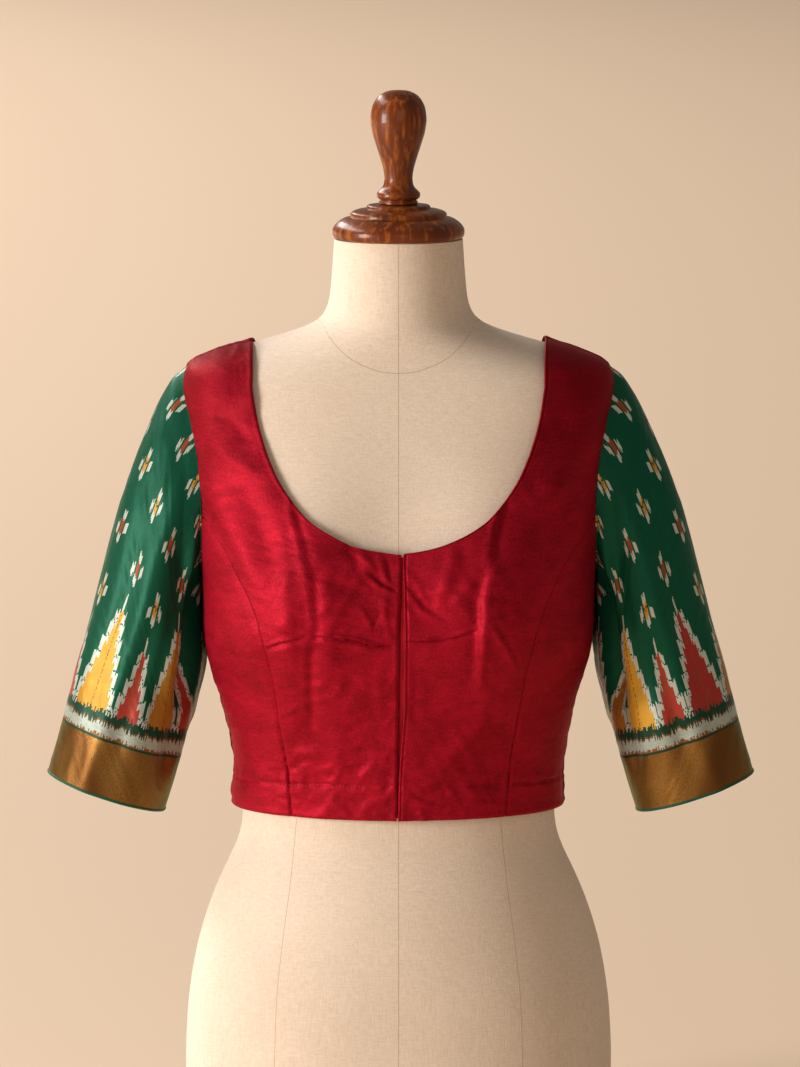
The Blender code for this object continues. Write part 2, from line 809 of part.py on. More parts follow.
def sleeve_outside(hang):
    """The sleeve's outer face on the side of +X, as rings from the armhole to the cuff.

    The hang is how much further out than the drawn lines the sleeve stands.
    """
    shares = np.linspace(0, 1, SLEEVE_RINGS) ** 1.15
    angles = np.linspace(0, 2 * math.pi, SLEEVE_STEPS, endpoint=False)
    outer_x, outer_z = line_through(SLEEVE_OUTER_LINE, shares)
    under_x, under_z = line_through(SLEEVE_UNDERARM_LINE, shares)
    half_depth = through(
        [row.share for row in SLEEVE_DEPTHS], [row.half_depth * MM for row in SLEEVE_DEPTHS], shares
    )
    upward = np.cos(angles)[None, :]
    forward = np.sin(angles)[None, :]
    x = (outer_x + under_x)[:, None] / 2 + (outer_x - under_x)[:, None] / 2 * upward
    x = x + hang * smooth_step(shares / 0.4)[:, None]
    z = (outer_z + under_z)[:, None] / 2 + (outer_z - under_z)[:, None] / 2 * upward
    y = SLEEVE_MIDDLE - half_depth[:, None] * forward
    points = np.stack([x, y + 0 * x, z], axis=-1)
    turn, height = armhole(angles)
    seam = cloth(turn, height, 0.5 * WALL) + np.array([SLEEVE_SEAM_STEP, 0, 0])
    fading = 1 - smooth_step(shares / 0.32)
    points = points + (seam - points[0])[None] * fading[:, None, None]
    rise = sleeve_rise(angles[None, :], shares[:, None])
    points = points + grid_normals(points) * rise[..., None]
    least = body_reach(points[..., 1], points[..., 2]) + SLEEVE_BODY_GAP
    beyond = (points[..., 0] - least) / SLEEVE_SOFTNESS
    pushed = least + SLEEVE_SOFTNESS * np.logaddexp(0, beyond)
    near_body = smooth_step((560 * MM - points[..., 2]) / (40 * MM))
    near_body[0] = 0
    points[..., 0] += (pushed - points[..., 0]) * near_body
    return points


def make_sleeve(name, side, hang):
    """A hollow sleeve and the piping on its cuff. Side is 1 at +X and -1 at -X."""
    outside = sleeve_outside(hang)
    normals = grid_normals(outside)
    inside = outside - normals * WALL
    flip = np.array([side, 1, 1])
    quads = grid_quads(SLEEVE_RINGS, SLEEVE_STEPS, closed=True)
    mesh = wall_mesh(
        name, (outside * flip).reshape(-1, 3), (inside * flip).reshape(-1, 3), quads
    )
    place(name, mesh, GREEN_SILK)
    downward = outside[-1].mean(axis=0) - outside[-2].mean(axis=0)
    downward /= np.linalg.norm(downward)
    centre = (outside[-1] + inside[-1]) / 2 + downward * (PIPING_RADIUS + SEAM_GAP)
    corners = np.linspace(0, 2 * math.pi, PIPING_SIDES, endpoint=False)
    rings = [
        centre + PIPING_RADIUS * (math.cos(corner) * normals[-1] + math.sin(corner) * downward)
        for corner in corners
    ]
    points = np.array(rings) * flip
    quads = []
    for ring in range(PIPING_SIDES):
        for step in range(SLEEVE_STEPS):
            beside = (step + 1) % SLEEVE_STEPS
            above = (ring + 1) % PIPING_SIDES
            quads.append(
                (
                    ring * SLEEVE_STEPS + step,
                    ring * SLEEVE_STEPS + beside,
                    above * SLEEVE_STEPS + beside,
                    above * SLEEVE_STEPS + step,
                )
            )
    piping = mesh_from(name + "_piping", points.reshape(-1, 3), quads)
    place(name + "_piping", piping, GREEN_SILK)


def form_ring_heights():
    """Levels of the form's rings: on the shoulders they keep an even distance down the slope."""
    body = np.linspace(0, SHOULDER_BOTTOM, FORM_BODY_RINGS)
    neck = np.linspace(SHOULDER_TOP, FORM_SECTIONS[-1].height * MM, FORM_NECK_RINGS)
    levels = np.linspace(SHOULDER_BOTTOM, SHOULDER_TOP, 400)
    outline = form_surface(math.pi / 2 + 0 * levels, levels)
    along = np.concatenate([[0], np.cumsum(np.linalg.norm(np.diff(outline, axis=0), axis=1))])
    marks = np.linspace(0, along[-1], FORM_SHOULDER_RINGS + 2)[1:-1]
    return np.concatenate([body, np.interp(marks, along, levels), neck])


def make_form():
    """The solid dress form, from its flat underside to the top of its neck."""
    heights = form_ring_heights()
    turns = np.linspace(0, 2 * math.pi, FORM_STEPS, endpoint=False)
    turn, height = np.meshgrid(turns, heights)
    points = form_surface(turn, height).reshape(-1, 3)
    faces = grid_quads(len(heights), FORM_STEPS, closed=True)
    faces.append(tuple(range(FORM_STEPS)))
    last = (len(heights) - 1) * FORM_STEPS
    faces.append(tuple(last + step for step in reversed(range(FORM_STEPS))))
    place("dress_form", mesh_from("dress_form", points, faces), CREAM_LINEN)


def turned(name, outline):
    """A piece of wood turned about the neck's upright axis."""
    base = FORM_SECTIONS[-1].height
    ring = np.linspace(0, 2 * math.pi, TURNED_STEPS, endpoint=False)
    points = [(0, -CAP_FORWARD, (base + outline[0].height) * MM)]
    for row in outline[1:-1]:
        for angle in ring:
            x = row.radius * MM * math.cos(angle)
            y = row.radius * MM * math.sin(angle) - CAP_FORWARD
            points.append((x, y, (base + row.height) * MM))
    points.append((0, -CAP_FORWARD, (base + outline[-1].height) * MM))
    rings = len(outline) - 2
    quads = grid_quads(rings, TURNED_STEPS, closed=True)
    faces = [tuple(1 + corner for corner in quad) for quad in quads]
    top = len(points) - 1
    upper = 1 + (rings - 1) * TURNED_STEPS
    for step in range(TURNED_STEPS):
        beside = (step + 1) % TURNED_STEPS
        faces.append((0, 1 + beside, 1 + step))
        faces.append((top, upper + step, upper + beside))
    place(name, mesh_from(name, points, faces), POLISHED_WOOD)


def main():
    for leftover in list(bpy.data.objects):
        bpy.data.objects.remove(leftover, do_unlink=True)
    make_form()
    turned("neck_cap", CAP_OUTLINE)
    turned("neck_knob", KNOB_OUTLINE)
    make_fronts()
    make_placket()
    make_back()
    make_sleeve("sleeve_right", -1, SLEEVE_HANG_RIGHT)
    make_sleeve("sleeve_left", 1, SLEEVE_HANG_LEFT)


main()
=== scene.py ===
"""A choli blouse worn by a dress form: its fine cloth, its finishes and the studio round it.

Everything is in metres, +Z up, and the front faces -Y. Each piece of the cut is built again as a
fine sheet on the same form, with the creases, seams and hem that the coarse solids leave out.
"""

from __future__ import annotations

import json
import logging
import math
from dataclasses import dataclass, field
from enum import Enum
from functools import partial, partialmethod
from typing import Callable, NamedTuple, Sequence

import bmesh
import bpy
import numpy as np
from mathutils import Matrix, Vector

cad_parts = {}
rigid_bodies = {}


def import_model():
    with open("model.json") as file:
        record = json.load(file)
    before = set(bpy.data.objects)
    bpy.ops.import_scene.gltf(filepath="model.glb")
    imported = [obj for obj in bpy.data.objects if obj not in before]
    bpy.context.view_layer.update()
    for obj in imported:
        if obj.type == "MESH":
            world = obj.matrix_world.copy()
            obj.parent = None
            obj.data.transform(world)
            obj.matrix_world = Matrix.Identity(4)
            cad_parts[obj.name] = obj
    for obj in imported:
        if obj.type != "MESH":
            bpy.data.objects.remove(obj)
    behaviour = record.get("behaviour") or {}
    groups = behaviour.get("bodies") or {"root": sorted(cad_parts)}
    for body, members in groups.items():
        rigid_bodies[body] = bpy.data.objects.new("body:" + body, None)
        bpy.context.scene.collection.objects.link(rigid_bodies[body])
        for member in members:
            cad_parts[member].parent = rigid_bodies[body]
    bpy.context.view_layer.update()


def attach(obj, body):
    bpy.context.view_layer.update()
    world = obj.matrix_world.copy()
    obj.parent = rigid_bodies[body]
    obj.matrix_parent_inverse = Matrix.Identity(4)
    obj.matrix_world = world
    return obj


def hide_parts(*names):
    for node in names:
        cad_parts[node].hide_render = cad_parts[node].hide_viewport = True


Array = np.ndarray
Colour = Point = tuple[float, float, float]
Material = bpy.types.Material
Node = bpy.types.Node
Object = bpy.types.Object
Socket = bpy.types.NodeSocket
Tree = bpy.types.NodeTree

LOG = logging.getLogger("choli")
MM = 0.001
WALL = 1.2 * MM
SEAM_GAP = 0.3 * MM
TOP_SEAM = 652 * MM
BODY = "root"

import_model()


def smooth_step(value: Array) -> Array:
    """0 below 0, 1 above 1, and an S-shaped rise between them."""
    value = np.clip(value, 0, 1)
    return value * value * (3 - 2 * value)


def bell(value: Array, width: float) -> Array:
    """A bell curve of height 1."""
    return np.exp(-0.5 * (value / width) ** 2)


def joined(*parts: Array) -> Array:
    """Points from their coordinates, or pairs from their turns and heights."""
    return np.stack(parts, axis=-1)


def through(keys: Sequence[float], values: Sequence[float], at: Array) -> Array:
    """Reads a smooth curve that runs through the values at the keys and never overshoots them.

    Args:
        keys: Rising places along the curve.
        values: The curve's value at each key.
        at: Where to read it.

    Returns:
        The curve's values there.
    """
    keys = np.asarray(keys, float)
    values = np.asarray(values, float)
    gaps = np.diff(keys)
    slopes = np.diff(values) / gaps
    product = slopes[:-1] * slopes[1:]
    total = slopes[:-1] + slopes[1:]
    steady = product > 0
    tangents = np.zeros_like(values)
    tangents[0] = slopes[0]
    tangents[-1] = slopes[-1]
    tangents[1:-1][steady] = 2 * product[steady] / total[steady]
    cell = np.clip(np.searchsorted(keys, at) - 1, 0, len(keys) - 2)
    part = (at - keys[cell]) / gaps[cell]
    rest = 1 - part
    return (
        values[cell] * (1 + 2 * part) * rest**2
        + tangents[cell] * gaps[cell] * part * rest**2
        + values[cell + 1] * part**2 * (3 - 2 * part)
        - tangents[cell + 1] * gaps[cell] * part**2 * rest
    )


def bisect(value_at: Callable, low: float, high: float, target: Array) -> Array:
    """Solves value_at(x) = target for an array of targets.

    Args:
        value_at: A function that rises from low to high.
        low: The lower end of the search.
        high: The upper end of the search.
        target: The wanted values.

    Returns:
        The places where the function has them.
    """
    lows = np.full(np.shape(target), low, float)
    highs = np.full(np.shape(target), high, float)
    for _ in range(36):
        middle = (lows + highs) / 2
        short = value_at(middle) < target
        lows = np.where(short, middle, lows)
        highs = np.where(short, highs, middle)
    return (lows + highs) / 2


def ripple(across: Array, along: Array, size: float, seed: int) -> Array:
    """Smooth, uneven waves between -1 and 1.

    Args:
        across: One coordinate of the points, in metres.
        along: The other coordinate.
        size: The usual distance from one wave to the next.
        seed: The number that fixes the pattern.

    Returns:
        The height of the waves at the points.
    """
    cells = 64
    lattice = np.random.default_rng(seed).uniform(-1, 1, (cells, cells))
    u = across / size + 500.3
    v = along / size + 500.7
    left = np.floor(u).astype(int)
    low = np.floor(v).astype(int)
    right_share = smooth_step(u - left)

    def level(row: Array) -> Array:
        """The waves along one row of the lattice."""
        here = lattice[left % cells, row % cells]
        return here + (lattice[(left + 1) % cells, row % cells] - here) * right_share

    bottom = level(low)
    return bottom + (level(low + 1) - bottom) * smooth_step(v - low)


def ridges(across: Array, along: Array, size: float, seed: int) -> Array:
    """Uneven waves with narrow crests, on the same terms as the soft ones."""
    crest = 0.012
    return 1 - 2 * np.sqrt(ripple(across, along, size, seed) ** 2 + crest)


def crumple(across: Array, height: Array, slant: float) -> Array:
    """The uneven crumple of the bodice's thin silk.

    Args:
        across: The points' distance from the centre plane.
        height: The points' heights.
        slant: How much its folds lean.

    Returns:
        The relief, in metres.
    """
    warp = 5 * MM * ripple(across, height, 34 * MM, 31)
    over = across + slant * height + warp
    under = height - slant * across + warp
    patch = smooth_step(0.55 + 0.9 * ripple(across, height, 42 * MM, 32))
    beside_placket = bell(across + 30 * MM, 24 * MM) * bell(height - 440 * MM, 90 * MM)
    near_hem = bell(height - 312 * MM, 16 * MM)
    busy = np.clip(0.45 + 0.45 * patch + 0.45 * beside_placket + 0.35 * near_hem, 0, 1.3)
    drape = 1.6 * MM * ripple(over, under * 0.36, 26 * MM, 33)
    folds = 0.7 * MM * ridges(over, under * 0.34, 15 * MM, 34)
    cross_folds = 0.7 * MM * ridges(across * 0.4 + warp, height - 0.3 * across, 12 * MM, 35)
    weft_folds = 0.38 * MM * ripple(across * 0.3 + warp, height + 0.12 * across, 5 * MM, 38)
    small = 0.22 * MM * ridges(over * 0.8, under, 6 * MM, 36)
    fine = 0.1 * MM * ripple(across, height, 3.2 * MM, 37)
    return drape + busy * (folds + cross_folds + weft_folds + small + fine)


class Section(NamedTuple):
    """A level cut through the dress form, in millimetres."""

    height: float
    half_width: float
    front: float
    back: float
    middle: float
    squareness: float


class Spot(NamedTuple):
    """A point seen from the front, in millimetres."""

    across: float
    height: float


@dataclass
class FormShape:
    """The dress form's surface, in turns about the upright axis and heights."""

    bust_height: float = 452 * MM
    bust_apart: float = 84 * MM
    bust_rise: float = 25 * MM
    bust_wide: float = 45 * MM
    bust_above: float = 62 * MM
    bust_below: float = 42 * MM
    blur: float = 4 * MM
    sections: tuple[Section, ...] = (
        Section(0, 166, 104, 116, 0, 2.2),
        Section(40, 170, 107, 122, 0, 2.2),
        Section(80, 171.5, 108, 125, 0, 2.2),
        Section(120, 169.8, 108, 125, 0, 2.2),
        Section(147, 166.6, 107, 122, 0, 2.2),
        Section(172, 162, 104, 117, 0, 2.15),
        Section(194, 156, 101, 110, 0, 2.1),
        Section(215, 148.7, 97, 103, 0, 2.1),
        Section(234, 140.5, 92, 96, 0, 2.1),
        Section(253, 131.5, 87, 89, 0, 2.1),
        Section(268, 126.6, 84, 84, 0, 2.1),
        Section(282, 125, 83, 82, 0, 2.1),
        Section(320, 126, 86, 84, 0, 2.1),
        Section(360, 133.5, 92, 91, 0, 2.2),
        Section(394, 144, 98, 97, 0, 2.3),
        Section(414, 150, 101, 100, 0, 2.4),
        Section(440, 153.8, 104, 104, 0, 2.5),
        Section(484, 155.2, 104, 108, 0, 2.7),
        Section(520, 158, 99, 109, 0, 2.8),
        Section(560, 160.5, 89, 106, 2, 3.0),
        Section(600, 165.5, 76, 98, 5, 3.0),
        Section(625, 169, 68, 88, 8, 2.8),
        Section(637, 168, 64, 82, 9, 2.6),
        Section(646, 156, 61, 77, 9, 2.3),
        Section(656, 124, 58, 71, 8, 2.1),
        Section(666, 89, 56, 64, 6, 2.05),
        Section(676, 64.5, 54, 57, 3, 2),
        Section(684, 58.5, 53, 53, 1, 2),
        Section(694, 55.1, 52, 50, -1, 2),
        Section(718, 52.8, 51, 46, -3, 2),
        Section(742.4, 51.2, 51, 44, -3.5, 2),
    )
    levels: Array = field(init=False)
    columns: list[Array] = field(init=False)

    def __post_init__(self) -> None:
        """Rounds the corners of the table of sections and keeps it every millimetre."""
        table = np.array(self.sections, float)
        table[:, :5] *= MM
        self.levels = np.arange(-20 * MM, table[-1, 0] + 20 * MM, MM)
        reach = int(3 * self.blur / MM)
        weights = bell(np.arange(-reach, reach + 1) * MM, self.blur)
        weights /= weights.sum()
        self.columns = []
        for index in range(1, table.shape[1]):
            values = through(table[:, 0], table[:, index], self.levels)
            padded = np.pad(values, reach, mode="reflect", reflect_type="odd")
            self.columns.append(np.convolve(padded, weights, mode="valid"))

    def surface(self, turn: Array, height: Array) -> Array:
        """Points on the form.

        Args:
            turn: Angles about the upright axis, 0 at the front centre.
            height: Heights above the floor.

        Returns:
            An array of points.
        """
        half_width, front, back, middle, squareness = (
            np.interp(height, self.levels, values) for values in self.columns
        )
        side = np.sin(turn)
        ahead = np.cos(turn)
        size = (np.abs(side) ** squareness + np.abs(ahead) ** squareness) ** (-1 / squareness)
        reach = np.where(ahead > 0, front + middle, back - middle)
        x = half_width * size * side
        y = middle - reach * size * ahead
        spread = np.where(height > self.bust_height, self.bust_above, self.bust_below)
        rise = self.bust_rise * bell(height - self.bust_height, spread)
        rise = rise * (
            bell(x - self.bust_apart, self.bust_wide) + bell(x + self.bust_apart, self.bust_wide)
        )
        y = y - rise * smooth_step(ahead / 0.45)
        return joined(x, y, height + 0 * x)

    def normal(self, turn: Array, height: Array) -> Array:
        """Directions out of the form.

        Args:
            turn: Angles about the upright axis, 0 at the front centre.
            height: Heights above the floor.

        Returns:
            An array of unit vectors.
        """
        turn_step = 0.002
        height_step = 1.5 * MM
        along = self.surface(turn + turn_step, height) - self.surface(turn - turn_step, height)
        rise = self.surface(turn, height + height_step) - self.surface(turn, height - height_step)
        normal = np.cross(along, rise)
        return normal / np.linalg.norm(normal, axis=-1, keepdims=True)


class CreaseKind(Enum):
    """How a crease stands in the cloth."""

    RIDGE = "ridge"
    VALLEY = "valley"
    LAP = "lap"


class Crease(NamedTuple):
    """A crease of the bodice: its line, its height and its width, in millimetres."""

    kind: CreaseKind
    line: tuple[tuple[float, float], ...]
    rise: float
    width: float


ridge, valley, lap = (partial(Crease, kind) for kind in CreaseKind)


def crease_relief(across: Array, height: Array, creases: Sequence[Crease]) -> Array:
    """How far a set of creases stands out of the cloth.

    Args:
        across: The points' distance from the centre plane.
        height: The points' heights.
        creases: The creases.

    Returns:
        The relief, in metres.
    """
    relief = np.zeros_like(across)
    for crease in creases:
        line = np.array(crease.line) * MM
        width = crease.width * MM
        pieces = np.diff(line, axis=0)
        lengths = np.hypot(*pieces.T)
        starts = np.concatenate([[0], np.cumsum(lengths)])
        nearest = np.full(across.shape, 1.0)
        beside = np.zeros_like(across)
        along = np.zeros_like(across)
        for start, piece, length, before in zip(line, pieces, lengths, starts):
            off_x = across - start[0]
            off_z = height - start[1]
            share = np.clip((off_x * piece[0] + off_z * piece[1]) / length**2, 0, 1)
            gap = np.hypot(off_x - share * piece[0], off_z - share * piece[1])
            closer = gap < nearest
            nearest = np.where(closer, gap, nearest)
            side = np.sign(off_x * piece[1] - off_z * piece[0])
            beside = np.where(closer, gap * side, beside)
            along = np.where(closer, (before + share * length) / starts[-1], along)
        swell = 0.35 + 0.65 * np.sin(math.pi * np.clip(along, 0, 1)) ** 0.7
        if crease.kind is CreaseKind.LAP:
            shape = 1.65 * (beside / width) * bell(beside, width)
        elif crease.kind is CreaseKind.VALLEY:
            shape = -bell(nearest, width)
        else:
            shape = bell(nearest, width)
        relief += crease.rise * MM * swell * shape * bell(nearest, 3 * width)
    return relief


LARGE_FOLDS = (
    valley(((-80, 512), (-69, 372)), 2.4, 6),
    ridge(((-92, 500), (-80, 410)), 1.4, 8),
    ridge(((-58, 500), (-56, 400)), 1.2, 7),
    ridge(((76, 496), (68, 402)), 2.0, 6),
    valley(((60, 500), (58, 420)), 1.4, 6),
    valley(((-28, 356), (-66, 300)), 1.0, 8),
    ridge(((22, 322), (74, 372)), 1.1, 9),
)

SHARP_CREASES = (
    lap(
        ((-84, 540), (-80, 526), (-74, 506), (-69, 485), (-68, 470), (-66, 450), (-68, 430)),
        1.0, 3.0,
    ),
    valley(((-66, 452), (-68, 430), (-69, 404), (-69, 383), (-68, 362)), 1.1, 2.4),
    lap(((-68, 440), (-58, 441), (-34, 438), (-22, 434), (-4, 433)), -1.5, 1.2),
    ridge(((-66, 436), (-46, 436), (-20, 430), (-5, 429)), 0.61, 2.6),
    lap(((-103, 430), (-93, 435), (-81, 438), (-72, 442)), -1.3, 1.4),
    ridge(((-101, 425), (-86, 430), (-74, 433)), 0.79, 3.0),
    ridge(((-98, 447), (-86, 452), (-77, 449)), 0.61, 3.5),
    ridge(((75, 495), (69, 478), (67, 446), (66, 426), (63, 394)), 1.75, 2.8),
    valley(((68, 492), (62, 470), (60, 440), (59, 410)), 1.22, 3.0),
    lap(((83, 544), (76, 523), (73, 499)), 1.4, 3.0),
    lap(((5, 436), (21, 437), (36, 438), (48, 441), (60, 446)), -1.4, 1.2),
    ridge(((6, 432), (24, 433), (46, 437)), 0.53, 2.6),
    lap(((77, 448), (85, 433), (93, 415)), 0.88, 2.0),
    ridge(((80, 470), (90, 458), (99, 452)), 0.61, 3.2),
    ridge(((44, 514), (42, 500), (36, 478), (30, 462)), 0.88, 3.6),
    valley(((52, 512), (50, 492), (44, 474)), 0.79, 4.0),
    ridge(((62, 490), (54, 478), (44, 466), (34, 462)), 0.7, 3.0),
    ridge(((29, 326), (48, 348), (68, 364)), 1.22, 5.0),
    valley(((40, 322), (58, 334), (78, 352)), 0.88, 6.0),
    ridge(((-33, 512), (-28, 503), (-20, 494)), 0.96, 2.0),
    valley(((-40, 514), (-34, 500), (-30, 488)), 0.88, 2.6),
    lap(((-23, 488), (-14, 481), (-4, 476)), 1.05, 1.8),
    ridge(((-16, 504), (-11, 490), (-7, 478)), 0.88, 2.4),
    valley(((-9, 500), (-6, 484)), 0.7, 1.8),
    ridge(((-30, 463), (-25, 454), (-21, 446)), 0.88, 1.6),
    valley(((-14, 460), (-18, 452), (-21, 446)), 0.88, 1.6),
    ridge(((-64, 468), (-48, 470), (-34, 463)), 0.7, 3.6),
    valley(((-60, 486), (-44, 482), (-30, 476)), 0.79, 3.4),
    ridge(((-12, 470), (-9, 448), (-6, 436)), 0.61, 2.6),
    ridge(((-52, 500), (-57, 484), (-58, 460)), 0.79, 3.4),
    ridge(((-88, 338), (-76, 342), (-62, 341)), 1.05, 3.0),
    valley(((-88, 325), (-80, 331), (-70, 336)), 0.88, 2.2),
    ridge(((-60, 324), (-50, 334), (-46, 352)), 0.7, 3.6),
    ridge(((-52, 318), (-47, 326), (-44, 334)), 0.88, 1.8),
    ridge(((-32, 318), (-27, 327), (-20, 334)), 0.79, 2.0),
    lap(((-90, 372), (-80, 378), (-71, 376)), -0.61, 2.4),
    ridge(((-14, 424), (-16, 400), (-12, 372)), 0.53, 3.2),
    valley(((12, 424), (14, 398), (10, 372)), 0.53, 3.0),
    lap(((10, 474), (20, 462), (34, 454)), 0.88, 2.6),
    ridge(((8, 490), (16, 480), (22, 466)), 0.61, 2.2),
    ridge(((82, 392), (80, 368), (84, 340)), 0.61, 3.4),
    ridge(((18, 303), (28, 298), (42, 301)), 0.7, 2.0),
    valley(((8, 314), (18, 306), (30, 304)), 0.7, 1.8),
    ridge(((-54, 302), (-46, 298), (-40, 292)), 0.7, 2.0),
    ridge(((-150, 556), (-138, 532), (-124, 506), (-110, 474)), 1.75, 7.0),
    valley(((-156, 538), (-146, 520), (-134, 498)), 1.4, 5.0),
    valley(((-128, 560), (-112, 534), (-101, 506), (-96, 470)), 1.57, 7.0),
    ridge(((-150, 590), (-132, 574), (-112, 566)), 1.4, 6.0),
    valley(((-148, 610), (-128, 600), (-118, 586)), 1.05, 5.0),
    valley(((150, 566), (132, 540), (116, 520), (102, 486)), 1.4, 7.0),
    ridge(((146, 590), (126, 560), (108, 530)), 1.4, 8.0),
    ridge(((148, 474), (138, 440), (124, 412)), 0.88, 7.0),
    ridge(((-140, 470), (-128, 440), (-118, 400)), 1.05, 8.0),
    valley(((-118, 398), (-112, 360), (-104, 330)), 0.88, 6.0),
    ridge(((122, 392), (112, 352), (108, 322)), 0.7, 6.0),
)

BACK_CREASES = (
    ridge(((-150, 540), (-128, 520), (-104, 512)), 0.9, 6.0),
    valley(((-146, 510), (-122, 492), (-92, 488)), 0.8, 6.0),
    ridge(((148, 546), (122, 530), (96, 526)), 0.9, 6.5),
    valley(((150, 516), (124, 500), (100, 490)), 0.7, 5.5),
    ridge(((-36, 470), (-30, 420), (-38, 366)), 0.7, 6.0),
    ridge(((28, 452), (36, 404), (30, 352)), 0.8, 6.5),
    valley(((2, 440), (-4, 396), (3, 350)), 0.7, 6.0),
    ridge(((-92, 402), (-60, 392), (-24, 396)), 0.6, 4.5),
    ridge(((96, 388), (62, 376), (30, 382)), 0.6, 4.5),
    valley(((-104, 372), (-70, 364), (-44, 368)), 0.5, 4.0),
    ridge(((70, 560), (40, 548), (8, 552)), 0.5, 5.0),
    valley(((-64, 566), (-38, 552), (-10, 556)), 0.5, 5.0),
)


@dataclass
class ClothShape:
    """The bodice's cloth, which lies over the form at a distance: the ease."""

    form: FormShape = field(default_factory=FormShape)
    hem_height: float = 288 * MM
    skin_ease: float = 2.3 * MM
    side_ease: float = 0.8 * MM
    side_rest_height: float = 454 * MM
    side_rest_spread: float = 20 * MM
    shoulder_ease: float = 1.3 * MM
    shoulder_start: float = 605 * MM
    shoulder_fade: float = 20 * MM
    hem_ease: float = 3.4 * MM
    valley_ease: float = 6.5 * MM
    valley_wide: float = 38 * MM
    valley_tall: float = 58 * MM
    underbust_ease: float = 3.5 * MM
    underbust_height: float = 392 * MM
    underbust_wide: float = 48 * MM
    underbust_tall: float = 36 * MM
    placket_ease: float = 1.1 * MM
    placket_wide: float = 13 * MM
    deepest_fold: float = 0.3 * MM

    def ease(self, turn: Array, point: Array) -> Array:
        """The distance from the form to the cloth's inner face.

        Args:
            turn: Angles about the upright axis, 0 at the front centre.
            point: The form's points there.

        Returns:
            The distances.
        """
        across = point[..., 0]
        height = point[..., 2]
        in_front = smooth_step(np.cos(turn) / 0.45)
        bust = self.form.bust_height
        hem = self.hem_ease * smooth_step((bust - height) / (bust - self.hem_height))
        hollow = self.valley_ease * bell(across, self.valley_wide)
        hollow = hollow * bell(height - bust, self.valley_tall)
        below = bell(np.abs(across) - self.form.bust_apart, self.underbust_wide)
        below = self.underbust_ease * below
        below = below * bell(height - self.underbust_height, self.underbust_tall)
        placket = self.placket_ease * bell(across, self.placket_wide)
        shoulder = smooth_step((height - self.shoulder_start) / self.shoulder_fade)
        folds = np.maximum(crease_relief(across, height, LARGE_FOLDS), -self.deepest_fold - hollow)
        room = hollow + below + placket + self.shoulder_ease * shoulder + folds
        at_side = smooth_step((np.abs(np.sin(turn)) - 0.9) / 0.1)
        resting = at_side * bell(height - self.side_rest_height, self.side_rest_spread)
        return self.skin_ease + hem + room * in_front - (self.skin_ease - self.side_ease) * resting

    def cloth(self, turn: Array, height: Array, lift: Array | float) -> Array:
        """Points of the cloth.

        Args:
            turn: Angles about the upright axis, 0 at the front centre.
            height: Heights above the floor.
            lift: Distances out of the cloth's inner face.

        Returns:
            An array of points.
        """
        point = self.form.surface(turn, height)
        distance = self.ease(turn, point) + lift
        return point + self.form.normal(turn, height) * distance[..., None]

    def _middle(self, turn: Array, height: Array) -> Array:
        """Points in the middle of the cloth's wall."""
        return self.cloth(turn, height, WALL / 2)

    def front_turn(self, across: Array, height: Array) -> Array:
        """The turn at which the front of the cloth is that far from the centre."""
        return bisect(lambda turn: self._middle(turn, height)[..., 0], 0, math.pi / 2, across)

    def signed_turn(self, across: Array, height: Array) -> Array:
        """The turn of a place on the front, on either side of the centre."""
        return np.sign(across) * self.front_turn(np.abs(across), height)

    def back_turn(self, across: Array, height: Array) -> Array:
        """The turn at which the back of the cloth is that far from the centre."""
        half = math.pi / 2
        return math.pi - bisect(
            lambda turn: self._middle(math.pi - turn, height)[..., 0], 0, half, across
        )

    def depth_turn(self, depth: Array, height: Array) -> Array:
        """The turn at which the side of the cloth is that far behind the centre plane."""
        low, high = 0.2 * math.pi, 0.8 * math.pi
        return bisect(lambda turn: self._middle(turn, height)[..., 1], low, high, depth)

    def shoulder_height(self, across: Array, turn: Array) -> Array:
        """The height at which the sloping shoulder is that far from the centre."""
        top, deepest = 672 * MM, 40 * MM
        return top - bisect(
            lambda drop: self._middle(turn, top - drop)[..., 0], 0, deepest, across
        )

    def inset(self, turn: Array, height: Array, share: float) -> Array:
        """The small turn that is a share of the seam gap wide."""
        step = 0.002
        width = self.cloth(turn + step, height, WALL) - self.cloth(turn - step, height, WALL)
        return share * SEAM_GAP * 2 * step / np.linalg.norm(width, axis=-1)


class Line(NamedTuple):
    """A point of a line on the blouse: its height and its place across, in millimetres."""

    height: float
    across: float


def read_line(rows: Sequence[Line], height: Array) -> Array:
    """The distance from the centre of a line on the blouse, at heights in metres."""
    return through([row.height * MM for row in rows], [row.across * MM for row in rows], height)


def crowded(count: int) -> Array:
    """Shares from 0 to 1 that lie closer together near both ends."""
    share = np.linspace(0, 1, count + 1)
    return share - 0.1 * np.sin(2 * math.pi * share)


def spread(start: Array, end: Array, count: int) -> Array:
    """(turn, height) pairs from one to another, closer together near both ends."""
    return start + (end - start) * crowded(count)[:, None]


class PanelGrid(NamedTuple):
    """A panel's grid of turns and heights, from the hem up and from the centre outwards."""

    turn: Array
    height: Array


